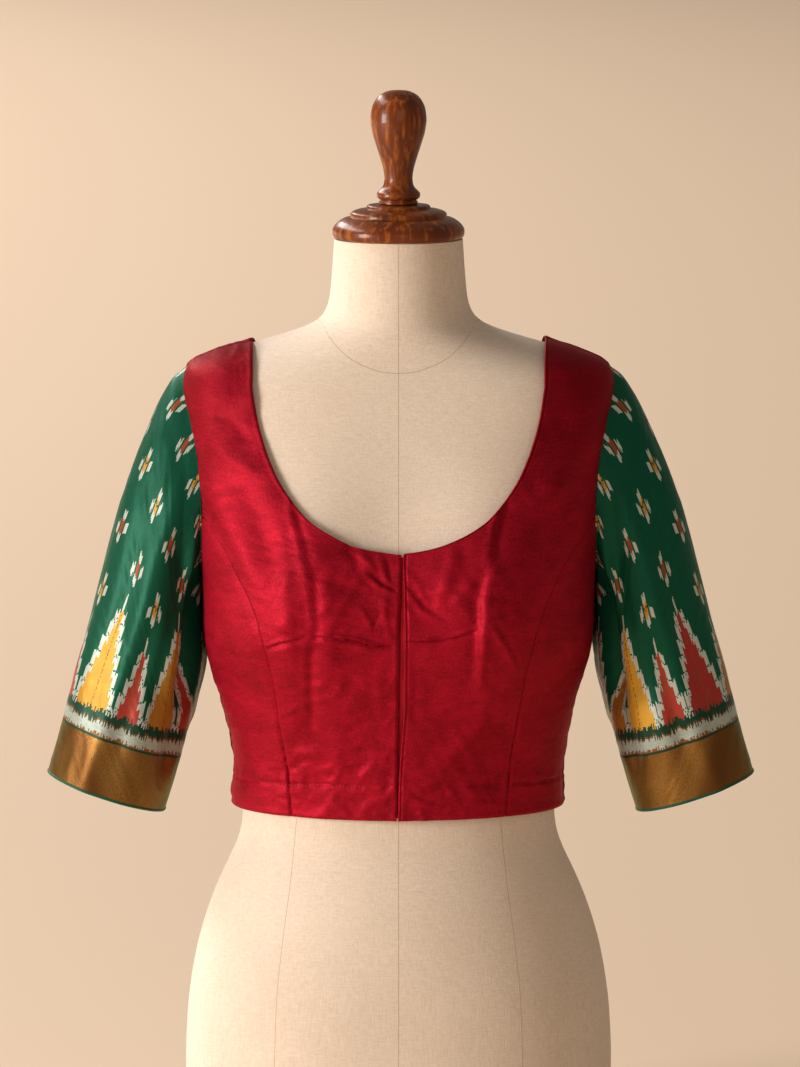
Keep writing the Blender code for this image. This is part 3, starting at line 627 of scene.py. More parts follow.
@dataclass
class Cut:
    """The cut of the bodice: where its seams and edges run, and the grid of each panel."""

    shape: ClothShape = field(default_factory=ClothShape)
    underarm: float = 476 * MM
    shoulder_tip: float = 638 * MM
    princess_top: float = 525 * MM
    back_blade: float = 488 * MM
    neck_at_shoulder: float = 117 * MM
    hole_front: float = 46 * MM
    hole_back: float = 50 * MM
    hole_tip_back: float = 9 * MM
    front_skew: float = 0.3
    back_skew: float = 0.1
    neckline: tuple[Line, ...] = (
        Line(502, 0), Line(505, 20), Line(510, 38), Line(518, 55), Line(528, 70), Line(541, 82),
        Line(558, 94), Line(580, 104), Line(605, 111.5), Line(628, 115.5),
    )
    back_neckline: tuple[Line, ...] = (
        Line(586, 0), Line(588, 30), Line(594, 60), Line(605, 88), Line(618, 105), Line(630, 114),
    )
    princess: tuple[Line, ...] = (
        Line(288, 85.5), Line(318, 87.5), Line(360, 93), Line(392, 97.5), Line(418, 102.5),
        Line(440, 108.5), Line(462, 116.5), Line(482, 126), Line(500, 137), Line(514, 147),
        Line(525, 154.5),
    )

    def armhole(self, angle: Array) -> tuple[Array, Array]:
        """Goes round the armhole.

        Args:
            angle: Angles about its middle, from the shoulder tip towards the front.

        Returns:
            The turns and heights there.
        """
        middle, rise = self._armhole_middle()
        height = middle + rise * np.cos(angle)
        in_front = np.sin(angle) >= 0
        half_depth = np.where(in_front, self.hole_front, self.hole_back)
        skew = np.where(in_front, self.front_skew, self.back_skew)
        depth = self.hole_tip_back * (1 + np.cos(angle)) / 2
        depth = depth - half_depth * np.sin(angle) * (1 - skew * np.cos(angle))
        return self.shape.depth_turn(depth, height), height

    def armhole_angle(self, height: float) -> float:
        """The angle round the armhole's front edge at a height."""
        middle, rise = self._armhole_middle()
        return math.acos((height - middle) / rise)

    def _armhole_middle(self) -> tuple[float, float]:
        """The height of the armhole's middle, and half its height."""
        return (self.shoulder_tip + self.underarm) / 2, (self.shoulder_tip - self.underarm) / 2

    @staticmethod
    def fill(bottom: Array, top: Array, inner: Array, outer: Array) -> PanelGrid:
        """Fills the space between four edges with a grid.

        Args:
            bottom: The hem's (turn, height) pairs, from the inner edge to the outer one.
            top: The upper edge's, the same way.
            inner: The inner edge's, from the hem up.
            outer: The outer edge's, from the hem up.

        Returns:
            The grid.
        """
        rows = np.linspace(0, 1, len(inner))[:, None, None]
        columns = crowded(len(bottom) - 1)[None, :, None]
        corners = (1 - rows) * ((1 - columns) * bottom[0] + columns * bottom[-1])
        corners = corners + rows * ((1 - columns) * top[0] + columns * top[-1])
        level = (1 - rows) * bottom[None] + rows * top[None]
        across = (1 - columns) * inner[:, None] + columns * outer[:, None]
        grid = level + across - corners
        return PanelGrid(grid[..., 0], grid[..., 1])

    def _princess_edge(self, heights: Array, share: float) -> Array:
        """The princess seam, moved by a share of the seam gap towards the side."""
        turn = self.shape.front_turn(read_line(self.princess, heights), heights)
        return joined(turn + self.shape.inset(turn, heights, share), heights)

    def centre_front(self, opening: Sequence[Line], columns: int) -> PanelGrid:
        """The centre front on the side of +X.

        Args:
            opening: The line of its edge at the front opening.
            columns: How many strips it has across.

        Returns:
            The grid, from the opening to the princess seam and the armhole.
        """
        below, rising, over, seam = 188, 96, 40, 206
        rows = below + rising + over
        neck_start = self.neckline[0].height * MM
        neck_top = self.neckline[-1].height * MM
        quarter = math.pi / 2
        top_turn = quarter - self.shape.inset(np.array(quarter), np.array(TOP_SEAM), 0.5)
        heights = np.linspace(self.shape.hem_height, neck_start, below + 1)
        edge = self.shape.signed_turn(read_line(opening, heights), heights)
        start = joined(edge, heights)
        share = np.linspace(0, 1, rising + 1)[1:] ** 1.35
        neck_heights = neck_start + (neck_top - neck_start) * share
        neck_across = read_line(self.neckline, neck_heights)
        least = read_line(opening, np.array(neck_start)) + 0.4 * MM
        neck_across = np.maximum(neck_across, least)
        neck = joined(self.shape.front_turn(neck_across, neck_heights), neck_heights)
        strap = self._strap_edge(neck[-1, 0], top_turn, self.neckline, over)
        inner = np.concatenate([start, neck, strap])
        heights = np.linspace(self.shape.hem_height, self.princess_top, seam + 1)
        princess = self._princess_edge(heights, -0.5)
        angles = np.linspace(self.armhole_angle(self.princess_top), 0, rows - seam + 1)[1:]
        turns, heights = self.armhole(angles)
        outer = np.concatenate([princess, joined(np.minimum(turns, top_turn), heights)])
        bottom = spread(inner[0], outer[0], columns)
        top = spread(inner[-1], outer[-1], columns)
        return self.fill(bottom, top, inner, outer)

    def _strap_edge(self, start: float, end: float, neck: Sequence[Line], count: int) -> Array:
        """The neck's edge over the shoulder.

        Args:
            start: The turn at which the neckline's table ends.
            end: The turn of the shoulder seam.
            neck: The neckline.
            count: How many steps there are.

        Returns:
            Its (turn, height) pairs, without the first.
        """
        turns = np.linspace(start, end, count + 1)[1:]
        across = np.linspace(neck[-1].across * MM, self.neck_at_shoulder, count + 1)[1:]
        return joined(turns, self.shape.shoulder_height(across, turns))

    def side_front(self, rows: int, columns: int) -> PanelGrid:
        """The side front on the side of +X.

        Args:
            rows: How many strips it has from the hem up.
            columns: How many it has across.

        Returns:
            The grid, from the princess seam to the side seam.
        """
        heights = np.linspace(self.shape.hem_height, self.princess_top, rows + 1)
        inner = self._princess_edge(heights, 0.5)
        heights = np.linspace(self.shape.hem_height, self.underarm, rows + 1)
        quarter = math.pi / 2 + 0 * heights
        outer = joined(quarter - self.shape.inset(quarter, heights, 0.5), heights)
        bottom = spread(inner[0], outer[0], columns)
        start = self.armhole_angle(self.princess_top)
        angles = start + (math.pi - start) * crowded(columns)
        turns, heights = self.armhole(angles)
        top = joined(np.minimum(turns, outer[-1, 0]), heights)
        top[0] = inner[-1]
        top[-1] = outer[-1]
        return self.fill(bottom, top, inner, outer)

    def half_back(self, columns: int) -> tuple[PanelGrid, int]:
        """The half of the back on the side of +X.

        Args:
            columns: How many strips it has across.

        Returns:
            The grid, and how many of its rows reach the centre line.
        """
        low_rows, high_rows, neck_rows, over = 80, 36, 40, 26
        back_neck = self.back_neckline[0].height * MM
        neck_top = self.back_neckline[-1].height * MM
        quarter = math.pi / 2
        low_turn = quarter + self.shape.inset(np.array(quarter), np.array(TOP_SEAM), 0.5)
        low = np.linspace(self.shape.hem_height, self.back_blade, low_rows + 1)
        high = np.linspace(self.back_blade, back_neck, high_rows + 1)[1:]
        heights = np.concatenate([low, high])
        centre = joined(math.pi + 0 * heights, heights)
        share = np.linspace(0, 1, neck_rows + 1)[1:] ** 1.5
        neck_heights = back_neck + (neck_top - back_neck) * share
        neck_across = read_line(self.back_neckline, neck_heights)
        neck = joined(self.shape.back_turn(neck_across, neck_heights), neck_heights)
        strap = self._strap_edge(neck[-1, 0], low_turn, self.back_neckline, over)
        inner = np.concatenate([centre, neck, strap])
        heights = np.linspace(self.shape.hem_height, self.underarm, low_rows + 1)
        side = quarter + 0 * heights
        side = joined(side + self.shape.inset(side, heights, 0.5), heights)
        angles = np.linspace(math.pi, 2 * math.pi, high_rows + neck_rows + over + 1)[1:]
        turns, heights = self.armhole(angles)
        outer = np.concatenate([side, joined(np.maximum(turns, low_turn), heights)])
        bottom = spread(inner[0], outer[0], columns)
        top = spread(inner[-1], outer[-1], columns)
        return self.fill(bottom, top, inner, outer), low_rows + high_rows + 1


class EdgeKind(Enum):
    """How an edge of a panel is finished."""

    SEAM = "seam"
    TURNED = "turned"
    BEAD = "bead"


class Edges(NamedTuple):
    """The finish of a panel's four edges."""

    inner: EdgeKind
    outer: EdgeKind
    bottom: EdgeKind
    top: EdgeKind


def grid_quads(rows: int, columns: int, closed: bool = False) -> Array:
    """The quads of a grid of points.

    Args:
        rows: How many rows of points it has.
        columns: How many points a row has.
        closed: True where each row is a ring.

    Returns:
        An array with the four corners of each quad.
    """
    count = columns if closed else columns - 1
    row, place = np.meshgrid(np.arange(rows - 1), np.arange(count), indexing="ij")
    beside = (place + 1) % columns
    low = row * columns
    high = low + columns
    return joined(low + place, low + beside, high + beside, high + place).reshape(-1, 4)


def capped(rows: int, columns: int) -> list[list[int]]:
    """The faces of a closed tube of rings, with a flat face at each end."""
    last = (rows - 1) * columns
    ends = [list(range(columns)), [last + step for step in reversed(range(columns))]]
    return grid_quads(rows, columns, closed=True).tolist() + ends


def open_edges(quads: Array) -> list[tuple[int, int]]:
    """The directed edges that only one quad has."""
    edges = {(int(q[i]), int(q[(i + 1) % 4])) for q in quads for i in range(4)}
    return sorted(edge for edge in edges if (edge[1], edge[0]) not in edges)


def new_mesh(name: str, points: Array, faces: Sequence, uv: Array | None = None) -> Object:
    """Makes an object from points and faces, with its faces turned outwards.

    Args:
        name: The object's name.
        points: The points, in metres.
        faces: The faces' corners.
        uv: A pair for each point, in metres, or nothing.

    Returns:
        The object, at the origin.
    """
    mesh = bpy.data.meshes.new(name)
    corners = [list(map(int, face)) for face in faces]
    mesh.from_pydata(np.asarray(points, float).tolist(), [], corners)
    if uv is not None:
        layer = mesh.uv_layers.new(name="cloth")
        corners = np.empty(len(mesh.loops), int)
        mesh.loops.foreach_get("vertex_index", corners)
        layer.data.foreach_set("uv", np.asarray(uv, float)[corners].ravel())
    shape = bmesh.new()
    shape.from_mesh(mesh)
    bmesh.ops.recalc_face_normals(shape, faces=shape.faces)
    shape.to_mesh(mesh)
    shape.free()
    mesh.shade_smooth()
    mesh.set_sharp_from_angle(angle=math.radians(60))
    piece = bpy.data.objects.new(name, mesh)
    bpy.context.scene.collection.objects.link(piece)
    return piece


def wall(name: str, outer: Array, inner: Array, quads: Array, uv: Array) -> Object:
    """A closed wall from two matching sheets of points.

    Args:
        name: The object's name.
        outer: The points of the outer sheet.
        inner: The points of the inner sheet.
        quads: The faces of the outer sheet.
        uv: A pair for each point of a sheet, in metres.

    Returns:
        The object.
    """
    count = len(outer)
    faces = quads.tolist() + (quads[:, ::-1] + count).tolist()
    for start, end in open_edges(quads):
        faces.append([end, start, count + start, count + end])
    return new_mesh(name, np.concatenate([outer, inner]), faces, np.concatenate([uv, uv]))


def dress(piece: Object, material: Material, node: str) -> None:
    """Gives a piece its finish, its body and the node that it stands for.

    Args:
        piece: The piece.
        material: Its finish.
        node: The node.
    """
    piece.data.materials.append(material)
    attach(piece, BODY)
    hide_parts(node)


def feed(tree: Tree, value: object, socket: Socket) -> None:
    """Links a value to a node's input, or sets the input to it.

    Args:
        tree: The node tree.
        value: A number in the tree, a socket or a plain value.
        socket: The input.
    """
    value = value.value if isinstance(value, Number) else value
    if isinstance(value, Socket):
        tree.links.new(value, socket)
    elif isinstance(value, tuple) and len(value) == 3 and len(socket.default_value) == 4:
        socket.default_value = (*value, 1)
    else:
        socket.default_value = value


def add_node(tree: Tree, kind: str, inputs: dict, **settings: object) -> Node:
    """Adds a node to a tree.

    Args:
        tree: The node tree.
        kind: The node's type.
        inputs: The value of each input, by its name or its place.
        settings: The node's properties.

    Returns:
        The node.
    """
    node = tree.nodes.new(kind)
    for key, value in settings.items():
        setattr(node, key, value)
    for key, value in inputs.items():
        feed(tree, value, node.inputs[key])
    return node


class Number:
    """A number in a node tree that can be added, compared and so on.

    A comparison is 1 where it holds and 0 elsewhere, size is the number without its sign, and
    clamp keeps it between 0 and 1.
    """

    def __init__(self, tree: Tree, value: object) -> None:
        """Keeps the tree and the socket."""
        self.tree = tree
        self.value = value

    def _make(self, operation: str, *others: object, **settings: object) -> Number:
        """Adds a math node that takes this number and the others.

        Args:
            operation: What the node does.
            others: Its other inputs.
            settings: Its other properties.

        Returns:
            The node's result.
        """
        inputs = dict(enumerate((self, *others)))
        node = add_node(self.tree, "ShaderNodeMath", inputs, operation=operation, **settings)
        return Number(self.tree, node.outputs[0])

    __add__ = partialmethod(_make, "ADD")
    __sub__ = partialmethod(_make, "SUBTRACT")
    __mul__ = partialmethod(_make, "MULTIPLY")
    __truediv__ = partialmethod(_make, "DIVIDE")
    both = partialmethod(_make, "MULTIPLY")
    either = partialmethod(_make, "MAXIMUM")
    over = partialmethod(_make, "GREATER_THAN")
    under = partialmethod(_make, "LESS_THAN")
    floor = partialmethod(_make, "FLOOR")
    size = partialmethod(_make, "ABSOLUTE")
    clamp = partialmethod(_make, "ADD", 0.0, use_clamp=True)

    def odd(self) -> Number:
        """1 where this whole number is odd, or else 0."""
        return self._make("FLOORED_MODULO", 2.0).over(0.5)


class Dye:
    """A material under construction, with short ways to add and join nodes."""

    def __init__(self, name: str) -> None:
        """Starts a material with a Principled shader."""
        self.material = bpy.data.materials.new(name)
        self.material.use_nodes = True
        self.tree = self.material.node_tree
        self.shader = self.tree.nodes["Principled BSDF"]

    def object_place(self) -> Socket:
        """Object coordinates."""
        return add_node(self.tree, "ShaderNodeTexCoord", {}).outputs["Object"]

    def cloth_place(self) -> Socket:
        """The piece's own cloth coordinates, in metres."""
        return add_node(self.tree, "ShaderNodeUVMap", {}, uv_map="cloth").outputs["UV"]

    def split(self, place: Socket) -> tuple[Number, Number]:
        """The first two coordinates of a place."""
        outputs = add_node(self.tree, "ShaderNodeSeparateXYZ", {0: place}).outputs
        return Number(self.tree, outputs[0]), Number(self.tree, outputs[1])

    def noise(self, place: object, scale: float, detail: float, dimensions: str = "3D") -> Number:
        """A noise between 0 and 1.

        Args:
            place: The place, or the number for one dimension.
            scale: How many waves there are in a metre.
            detail: How many finer waves there are.
            dimensions: 1D or 3D.

        Returns:
            The noise.
        """
        key = "W" if dimensions == "1D" else "Vector"
        inputs = {key: place, "Scale": scale, "Detail": detail}
        node = add_node(self.tree, "ShaderNodeTexNoise", inputs, noise_dimensions=dimensions)
        return Number(self.tree, node.outputs["Fac"])

    def streaks(self, place: Socket, waves: Point, detail: float) -> Number:
        """A noise between 0 and 1, with its own number of waves in a metre along each axis."""
        node = add_node(self.tree, "ShaderNodeMapping", {"Vector": place, "Scale": waves})
        return self.noise(node.outputs["Vector"], 1.0, detail)

    def chance(self, value: Number) -> Number:
        """A random number between 0 and 1 for each value."""
        node = add_node(self.tree, "ShaderNodeTexWhiteNoise", {"W": value}, noise_dimensions="1D")
        return Number(self.tree, node.outputs["Value"])

    def blend(self, share: object, first: object, second: object, kind: str = "MIX") -> Socket:
        """Mixes two colours.

        Args:
            share: How much of the second there is.
            first: A colour or a socket.
            second: A colour or a socket.
            kind: The way they are mixed.

        Returns:
            The mixed colour.
        """
        inputs = {0: share, 6: first, 7: second}
        node = add_node(self.tree, "ShaderNodeMix", inputs, data_type="RGBA", blend_type=kind)
        return node.outputs[2]

    def relief(
        self, height: object, distance: float, strength: float, under: object = None
    ) -> Socket:
        """A bump.

        Args:
            height: The height, as a number between 0 and 1.
            distance: The real height that 1 stands for, in metres.
            strength: The share of it that shows.
            under: A bump below this one.

        Returns:
            The bent normal.
        """
        inputs = {"Strength": strength, "Distance": distance, "Height": height}
        if under is not None:
            inputs["Normal"] = under
        return add_node(self.tree, "ShaderNodeBump", inputs).outputs["Normal"]

    def finish(self, **inputs: object) -> Material:
        """Sets the shader's inputs by name, with _ for a space, and returns the material."""
        for key, value in inputs.items():
            feed(self.tree, value, self.shader.inputs[key.replace("_", " ")])
        return self.material


@dataclass(frozen=True)
class Satin:
    """The red silk satin of the bodice, with painted shade that darkens its straps."""

    name: str = "red_satin"
    base: Colour = (0.45, 0.008, 0.026)
    deep: Colour = (0.21, 0.003, 0.010)
    gloss: float = 0.53
    thread: float = 2600.0
    grain: float = 620.0
    # Painted shade: from this height up, over this fade, the satin darkens towards the deep red.
    painted_shade_height: float = 0.53
    painted_shade_fade: float = 0.09

    def make(self) -> Material:
        """Builds the material."""
        dye = Dye(self.name)
        place = dye.cloth_place()
        slub = dye.streaks(place, (110, 900, 1), 3.0)
        cloud = dye.streaks(place, (60, 110, 1), 4.0)
        patch = dye.streaks(place, (20, 30, 1), 2.0)
        grain = dye.streaks(place, (self.grain, self.grain * 0.8, 1), 2.0)
        weave = dye.streaks(place, (self.thread, self.thread * 0.4, 1), 1.0)
        # Painted shade on the straps, taken off the share of the base red so the top of the bodice
        # looks shaded.
        strap = ((dye.split(place)[1] - self.painted_shade_height) / self.painted_shade_fade).clamp() * 0.5
        share = slub * 0.9 + cloud * 0.65 + patch * 0.95 + grain * 1.15 + weave * 0.5
        share = (share - 1.595 - strap).clamp()
        colour = dye.blend(share, self.deep, self.base)
        soft = dye.streaks(place, (130, 80, 1), 2.0)
        crinkle = dye.streaks(place, (520, 330, 1), 2.0)
        bump = dye.relief(soft, 0.45 * MM, 0.4)
        bump = dye.relief(crinkle, 0.25 * MM, 0.5, bump)
        bump = dye.relief(grain, 0.22 * MM, 0.8, bump)
        bump = dye.relief(weave, 0.1 * MM, 0.6, bump)
        return dye.finish(
            Base_Color=colour,
            Roughness=cloud * 0.16 + (self.gloss - 0.08),
            Metallic=0.41,
            Specular_IOR_Level=0.2,
            Specular_Tint=(1.0, 0.3, 0.34),
            Normal=bump,
        )


@dataclass(frozen=True)
class PlainCloth:
    """A plain woven cloth of one colour."""

    name: str
    base: Colour
    gloss: float = 0.55
    fuzz: float = 0.15

    def make(self) -> Material:
        """Builds the material."""
        dye = Dye(self.name)
        place = dye.object_place()
        weave = dye.noise(place, 2400.0, 1.0)
        dark = tuple(0.6 * part for part in self.base)
        colour = dye.blend(weave, dark, self.base)
        return dye.finish(
            Base_Color=colour,
            Roughness=self.gloss,
            Specular_IOR_Level=0.15,
            Sheen_Weight=self.fuzz,
            Normal=dye.relief(weave, 0.06 * MM, 0.6),
        )


@dataclass(frozen=True)
class Linen:
    """The cream linen that covers the dress form."""

    name: str = "cream_linen"
    base: Colour = (0.60, 0.48, 0.37)
    light: Colour = (0.93, 0.795, 0.665)
    thread: float = 1000.0

    def make(self) -> Material:
        """Builds the material."""
        dye = Dye(self.name)
        place = dye.object_place()
        warp = dye.streaks(place, (self.thread, self.thread, 110), 2.0)
        weft = dye.streaks(place, (170, 170, self.thread), 2.0)
        cloud = dye.noise(place, 9.0, 3.0)
        weave = warp * 0.5 + weft * 0.5
        colour = dye.blend((weave * 1.2 + cloud * 0.5 - 0.35).clamp(), self.base, self.light)
        return dye.finish(
            Base_Color=colour,
            Roughness=0.95,
            Sheen_Weight=0.2,
            Specular_IOR_Level=0.25,
            Normal=dye.relief(weave, 0.4 * MM, 0.8),
        )


@dataclass(frozen=True)
class Wood:
    """Dark red polished wood with a long grain."""

    name: str = "polished_wood"
    dark: Colour = (0.060, 0.009, 0.002)
    mid: Colour = (0.21, 0.042, 0.004)
    light: Colour = (0.50, 0.14, 0.016)

    def make(self) -> Material:
        """Builds the material."""
        dye = Dye(self.name)
        place = dye.object_place()
        grain = dye.streaks(place, (260, 260, 22), 4.0)
        band = dye.streaks(place, (46, 46, 9), 3.0)
        colour = dye.blend((band * 1.7 - 0.35).clamp(), self.dark, self.mid)
        colour = dye.blend((grain * 2.6 - 1.25).clamp(), colour, self.light)
        return dye.finish(
            Base_Color=colour,
            Roughness=0.34,
            Specular_IOR_Level=0.2,
            Coat_Weight=0.22,
            Coat_Roughness=0.05,
            Normal=dye.relief(grain, 0.1 * MM, 0.2),
        )


class Spires(NamedTuple):
    """A row of stepped spires, and its two colours in turn."""

    half: float
    steps: float
    offset: float
    even: Colour
    odd: Colour


@dataclass(frozen=True)
class IkatSilk:
    """Green ikat silk with crosses, stepped spires and a gold border at the cuff, and a factor of
    painted shade that darkens all of it.

    Places on it are the cloth's own, in millimetres: u runs round the sleeve, 0 at its front and
    growing towards the body, and v runs up from the cuff.
    """

    name: str
    big: Spires
    small: Spires
    # Painted shade: the factor that darkens every colour of this copy of the silk.
    painted_shade_scale: float = 1.0
    green: Colour = (0.006, 0.120, 0.062)
    green_deep: Colour = (0.002, 0.058, 0.030)
    band_green: Colour = (0.012, 0.050, 0.028)
    white: Colour = (0.54, 0.60, 0.54)
    brown: Colour = (0.24, 0.085, 0.022)
    yellow: Colour = (0.66, 0.30, 0.035)
    cross_red: Colour = (0.36, 0.07, 0.022)
    gold: Colour = (0.43, 0.235, 0.055)
    gold_dark: Colour = (0.15, 0.055, 0.012)
    spire_apart: float = 67.0
    spire_base: float = 64.0
    step_tall: float = 13.6
    step_in: float = 3.0
    block: float = 3.6
    needle: float = 0.9
    cross_across: float = 33.5
    cross_along: float = 53.5
    cross_middle: float = 156.0
    cross_lowest: float = 141.0
    stem_half: float = 2.1
    stem_tall: float = 13.0
    stem_gap: float = 2.6
    core_tall: float = 6.0
    arm_apart: float = 5.9
    arm_half: float = 1.9
    arm_tall: float = 4.3
    border: float = 43.0
    thread: float = 1.05

    def make(self) -> Material:
        """Builds the material."""
        dye = Dye(self.name)
        place = dye.cloth_place()
        u, v = (part * 1000.0 for part in dye.split(place))
        column = (u / self.thread).floor()
        slip = dye.chance(column) - 0.5
        drift = dye.noise(column * 0.21, 1.0, 0.0, "1D") - 0.5
        ragged = v + slip * 5.0 + drift * 3.0
        shimmer = dye.streaks(place, (2200, 120, 1), 2.0)
        weft = dye.streaks(place, (140, 1500, 1), 2.0)
        colour = dye.blend((shimmer * 0.9 + weft * 0.6 - 0.3).clamp(), self.green_deep, self.green)
        colour = self._crosses(dye, colour, u, ragged)
        colour = self._spires(dye, colour, u, ragged, self.big)
        colour = self._spires(dye, colour, u, ragged, self.small)
        colour, gold = self._border(dye, colour, u, v, slip, weft)
        fleck = dye.streaks(place, (700, 520, 1), 3.0)
        colour = dye.blend(gold.both((fleck * 3.2 - 1.3).clamp()) * 0.6, colour, self.gold_dark)
        crinkle = dye.streaks(place, (90, 60, 1), 3.0)
        # Painted shade: every colour multiplied by the darkening factor.
        colour = dye.blend(1.0, colour, (self.painted_shade_scale, self.painted_shade_scale, self.painted_shade_scale), "MULTIPLY")
        weave = dye.relief(crinkle, 0.9 * MM, 0.4)
        weave = dye.relief(shimmer * 0.5 + weft * 0.5, 0.2 * MM, 0.6, weave)
        weave = dye.relief(fleck, 0.2 * MM, 0.5, weave)
        return dye.finish(
            Base_Color=colour,
            Roughness=gold * -0.03 + 0.43,
            Metallic=gold * 0.5 + 0.22,
            Specular_IOR_Level=0.25,
            Specular_Tint=(0.5, 1.0, 0.8),
            Normal=weave,
        )

    def _crosses(self, dye: Dye, colour: Socket, u: Number, v: Number) -> Socket:
        """Adds the staggered crosses.

        Args:
            dye: The material.
            colour: The ground's colour.
            u: The place round the sleeve.
            v: The ragged place up from the cuff.

        Returns:
            The colour with the crosses.
        """
        cell = (u / self.cross_across + 0.5).floor()
        beside = u - cell * self.cross_across
        lifted = v - self.cross_middle - cell.odd() * (0.5 * self.cross_along)
        row = (lifted / self.cross_along + 0.5).floor()
        along = lifted - row * self.cross_along
        above = v.over(self.cross_lowest)
        pick = (cell + row).odd()
        middle = beside.size().under(self.stem_half)
        tall = along.size()
        stem = middle.both(tall.under(self.stem_tall)).both(tall.over(self.stem_gap))
        core = middle.both(tall.under(self.core_tall))
        core = core.both((along - 1.5).size().over(1.0).either(pick))
        arm = (beside.size() - self.arm_apart).size().under(self.arm_half)
        arm = arm.both((along + 1.0).size().under(self.arm_tall))
        white = stem.either(arm).both(above)
        colour = dye.blend(white, colour, self.white)
        inner = dye.blend(pick, self.yellow, self.cross_red)
        return dye.blend(core.both(above), colour, inner)

    def _spires(self, dye: Dye, colour: Socket, u: Number, v: Number, row: Spires) -> Socket:
        """Adds a row of stepped spires that stand on the border.

        Args:
            dye: The material.
            colour: The ground's colour.
            u: The place round the sleeve.
            v: The ragged place up from the cuff.
            row: The row: half the width of a spire's foot, its steps below the tip, its place
                as a share of the distance between spires, and its colours.

        Returns:
            The colour with the spires.
        """
        place = u / self.spire_apart + (0.5 - row.offset)
        cell = place.floor()
        beside = ((place - cell - 0.5) * self.spire_apart).size()
        rise = v - self.spire_base
        step = (rise / self.step_tall).floor()
        width = (step * -self.step_in + row.half).either(2.0)
        standing = rise.over(0.0).both(step.under(row.steps - 0.5))
        blocks = ((rise - 5.0) / self.step_tall).floor()
        edge = (blocks * -self.step_in + row.half).either(2.0) + self.block
        gap = (rise - 5.0) / self.step_tall - blocks
        outline = beside.under(edge).both(standing).both(gap.over(0.1))
        colour = dye.blend(outline, colour, self.white)
        body = beside.under(width).both(standing)
        tint = dye.blend(cell.odd(), row.even, row.odd)
        fade = dye.noise(v * 0.05 + cell * 3.1, 1.0, 1.0, "1D").over(0.56)
        tint = dye.blend(fade * 0.14, tint, self.brown)
        colour = dye.blend(body, colour, tint)
        line = beside.under(0.55).both(standing)
        line = line.both(dye.noise(v * 0.35, 1.0, 1.0, "1D").over(0.5))
        colour = dye.blend(line, colour, self.brown)
        needle = beside.under(self.needle).both(step.over(row.steps - 0.5))
        needle = needle.both(rise.under((row.steps + 1.0) * self.step_tall))
        return dye.blend(needle, colour, self.white)

    def _border(
        self, dye: Dye, colour: Socket, u: Number, v: Number, slip: Number, weft: Number
    ) -> tuple[Socket, Number]:
        """Adds the bands and the gold border at the cuff.

        Args:
            dye: The material.
            colour: The ground's colour.
            u: The place round the sleeve.
            v: The place up from the cuff.
            slip: How far each thread has slipped.
            weft: A fine noise across the threads.

        Returns:
            The colour with the border, and 1 where it is gold.
        """
        upper = v + slip * 6.0
        lower = v + slip * 4.0
        green_top = self.spire_base + 1.0
        colour = dye.blend(upper.under(green_top), colour, self.band_green)
        colour = dye.blend(upper.under(green_top - 8.2), colour, self.brown)
        shade = dye.blend((weft * 1.4 - 0.2).clamp(), (0.30, 0.35, 0.30), self.white)
        colour = dye.blend((v + slip * 5.0).under(green_top - 9.6), colour, shade)
        colour = dye.blend(lower.under(self.border + 3.8), colour, self.brown)
        colour = dye.blend(v.under(self.border + 2.0), colour, self.band_green)
        gold = v.under(self.border)
        patch = dye.noise(u * 0.02 + v * 0.012, 1.0, 2.0, "1D")
        sheet = dye.blend((patch * 1.6 - 0.45).clamp(), self.gold_dark, self.gold)
        return dye.blend(gold, colour, sheet), gold


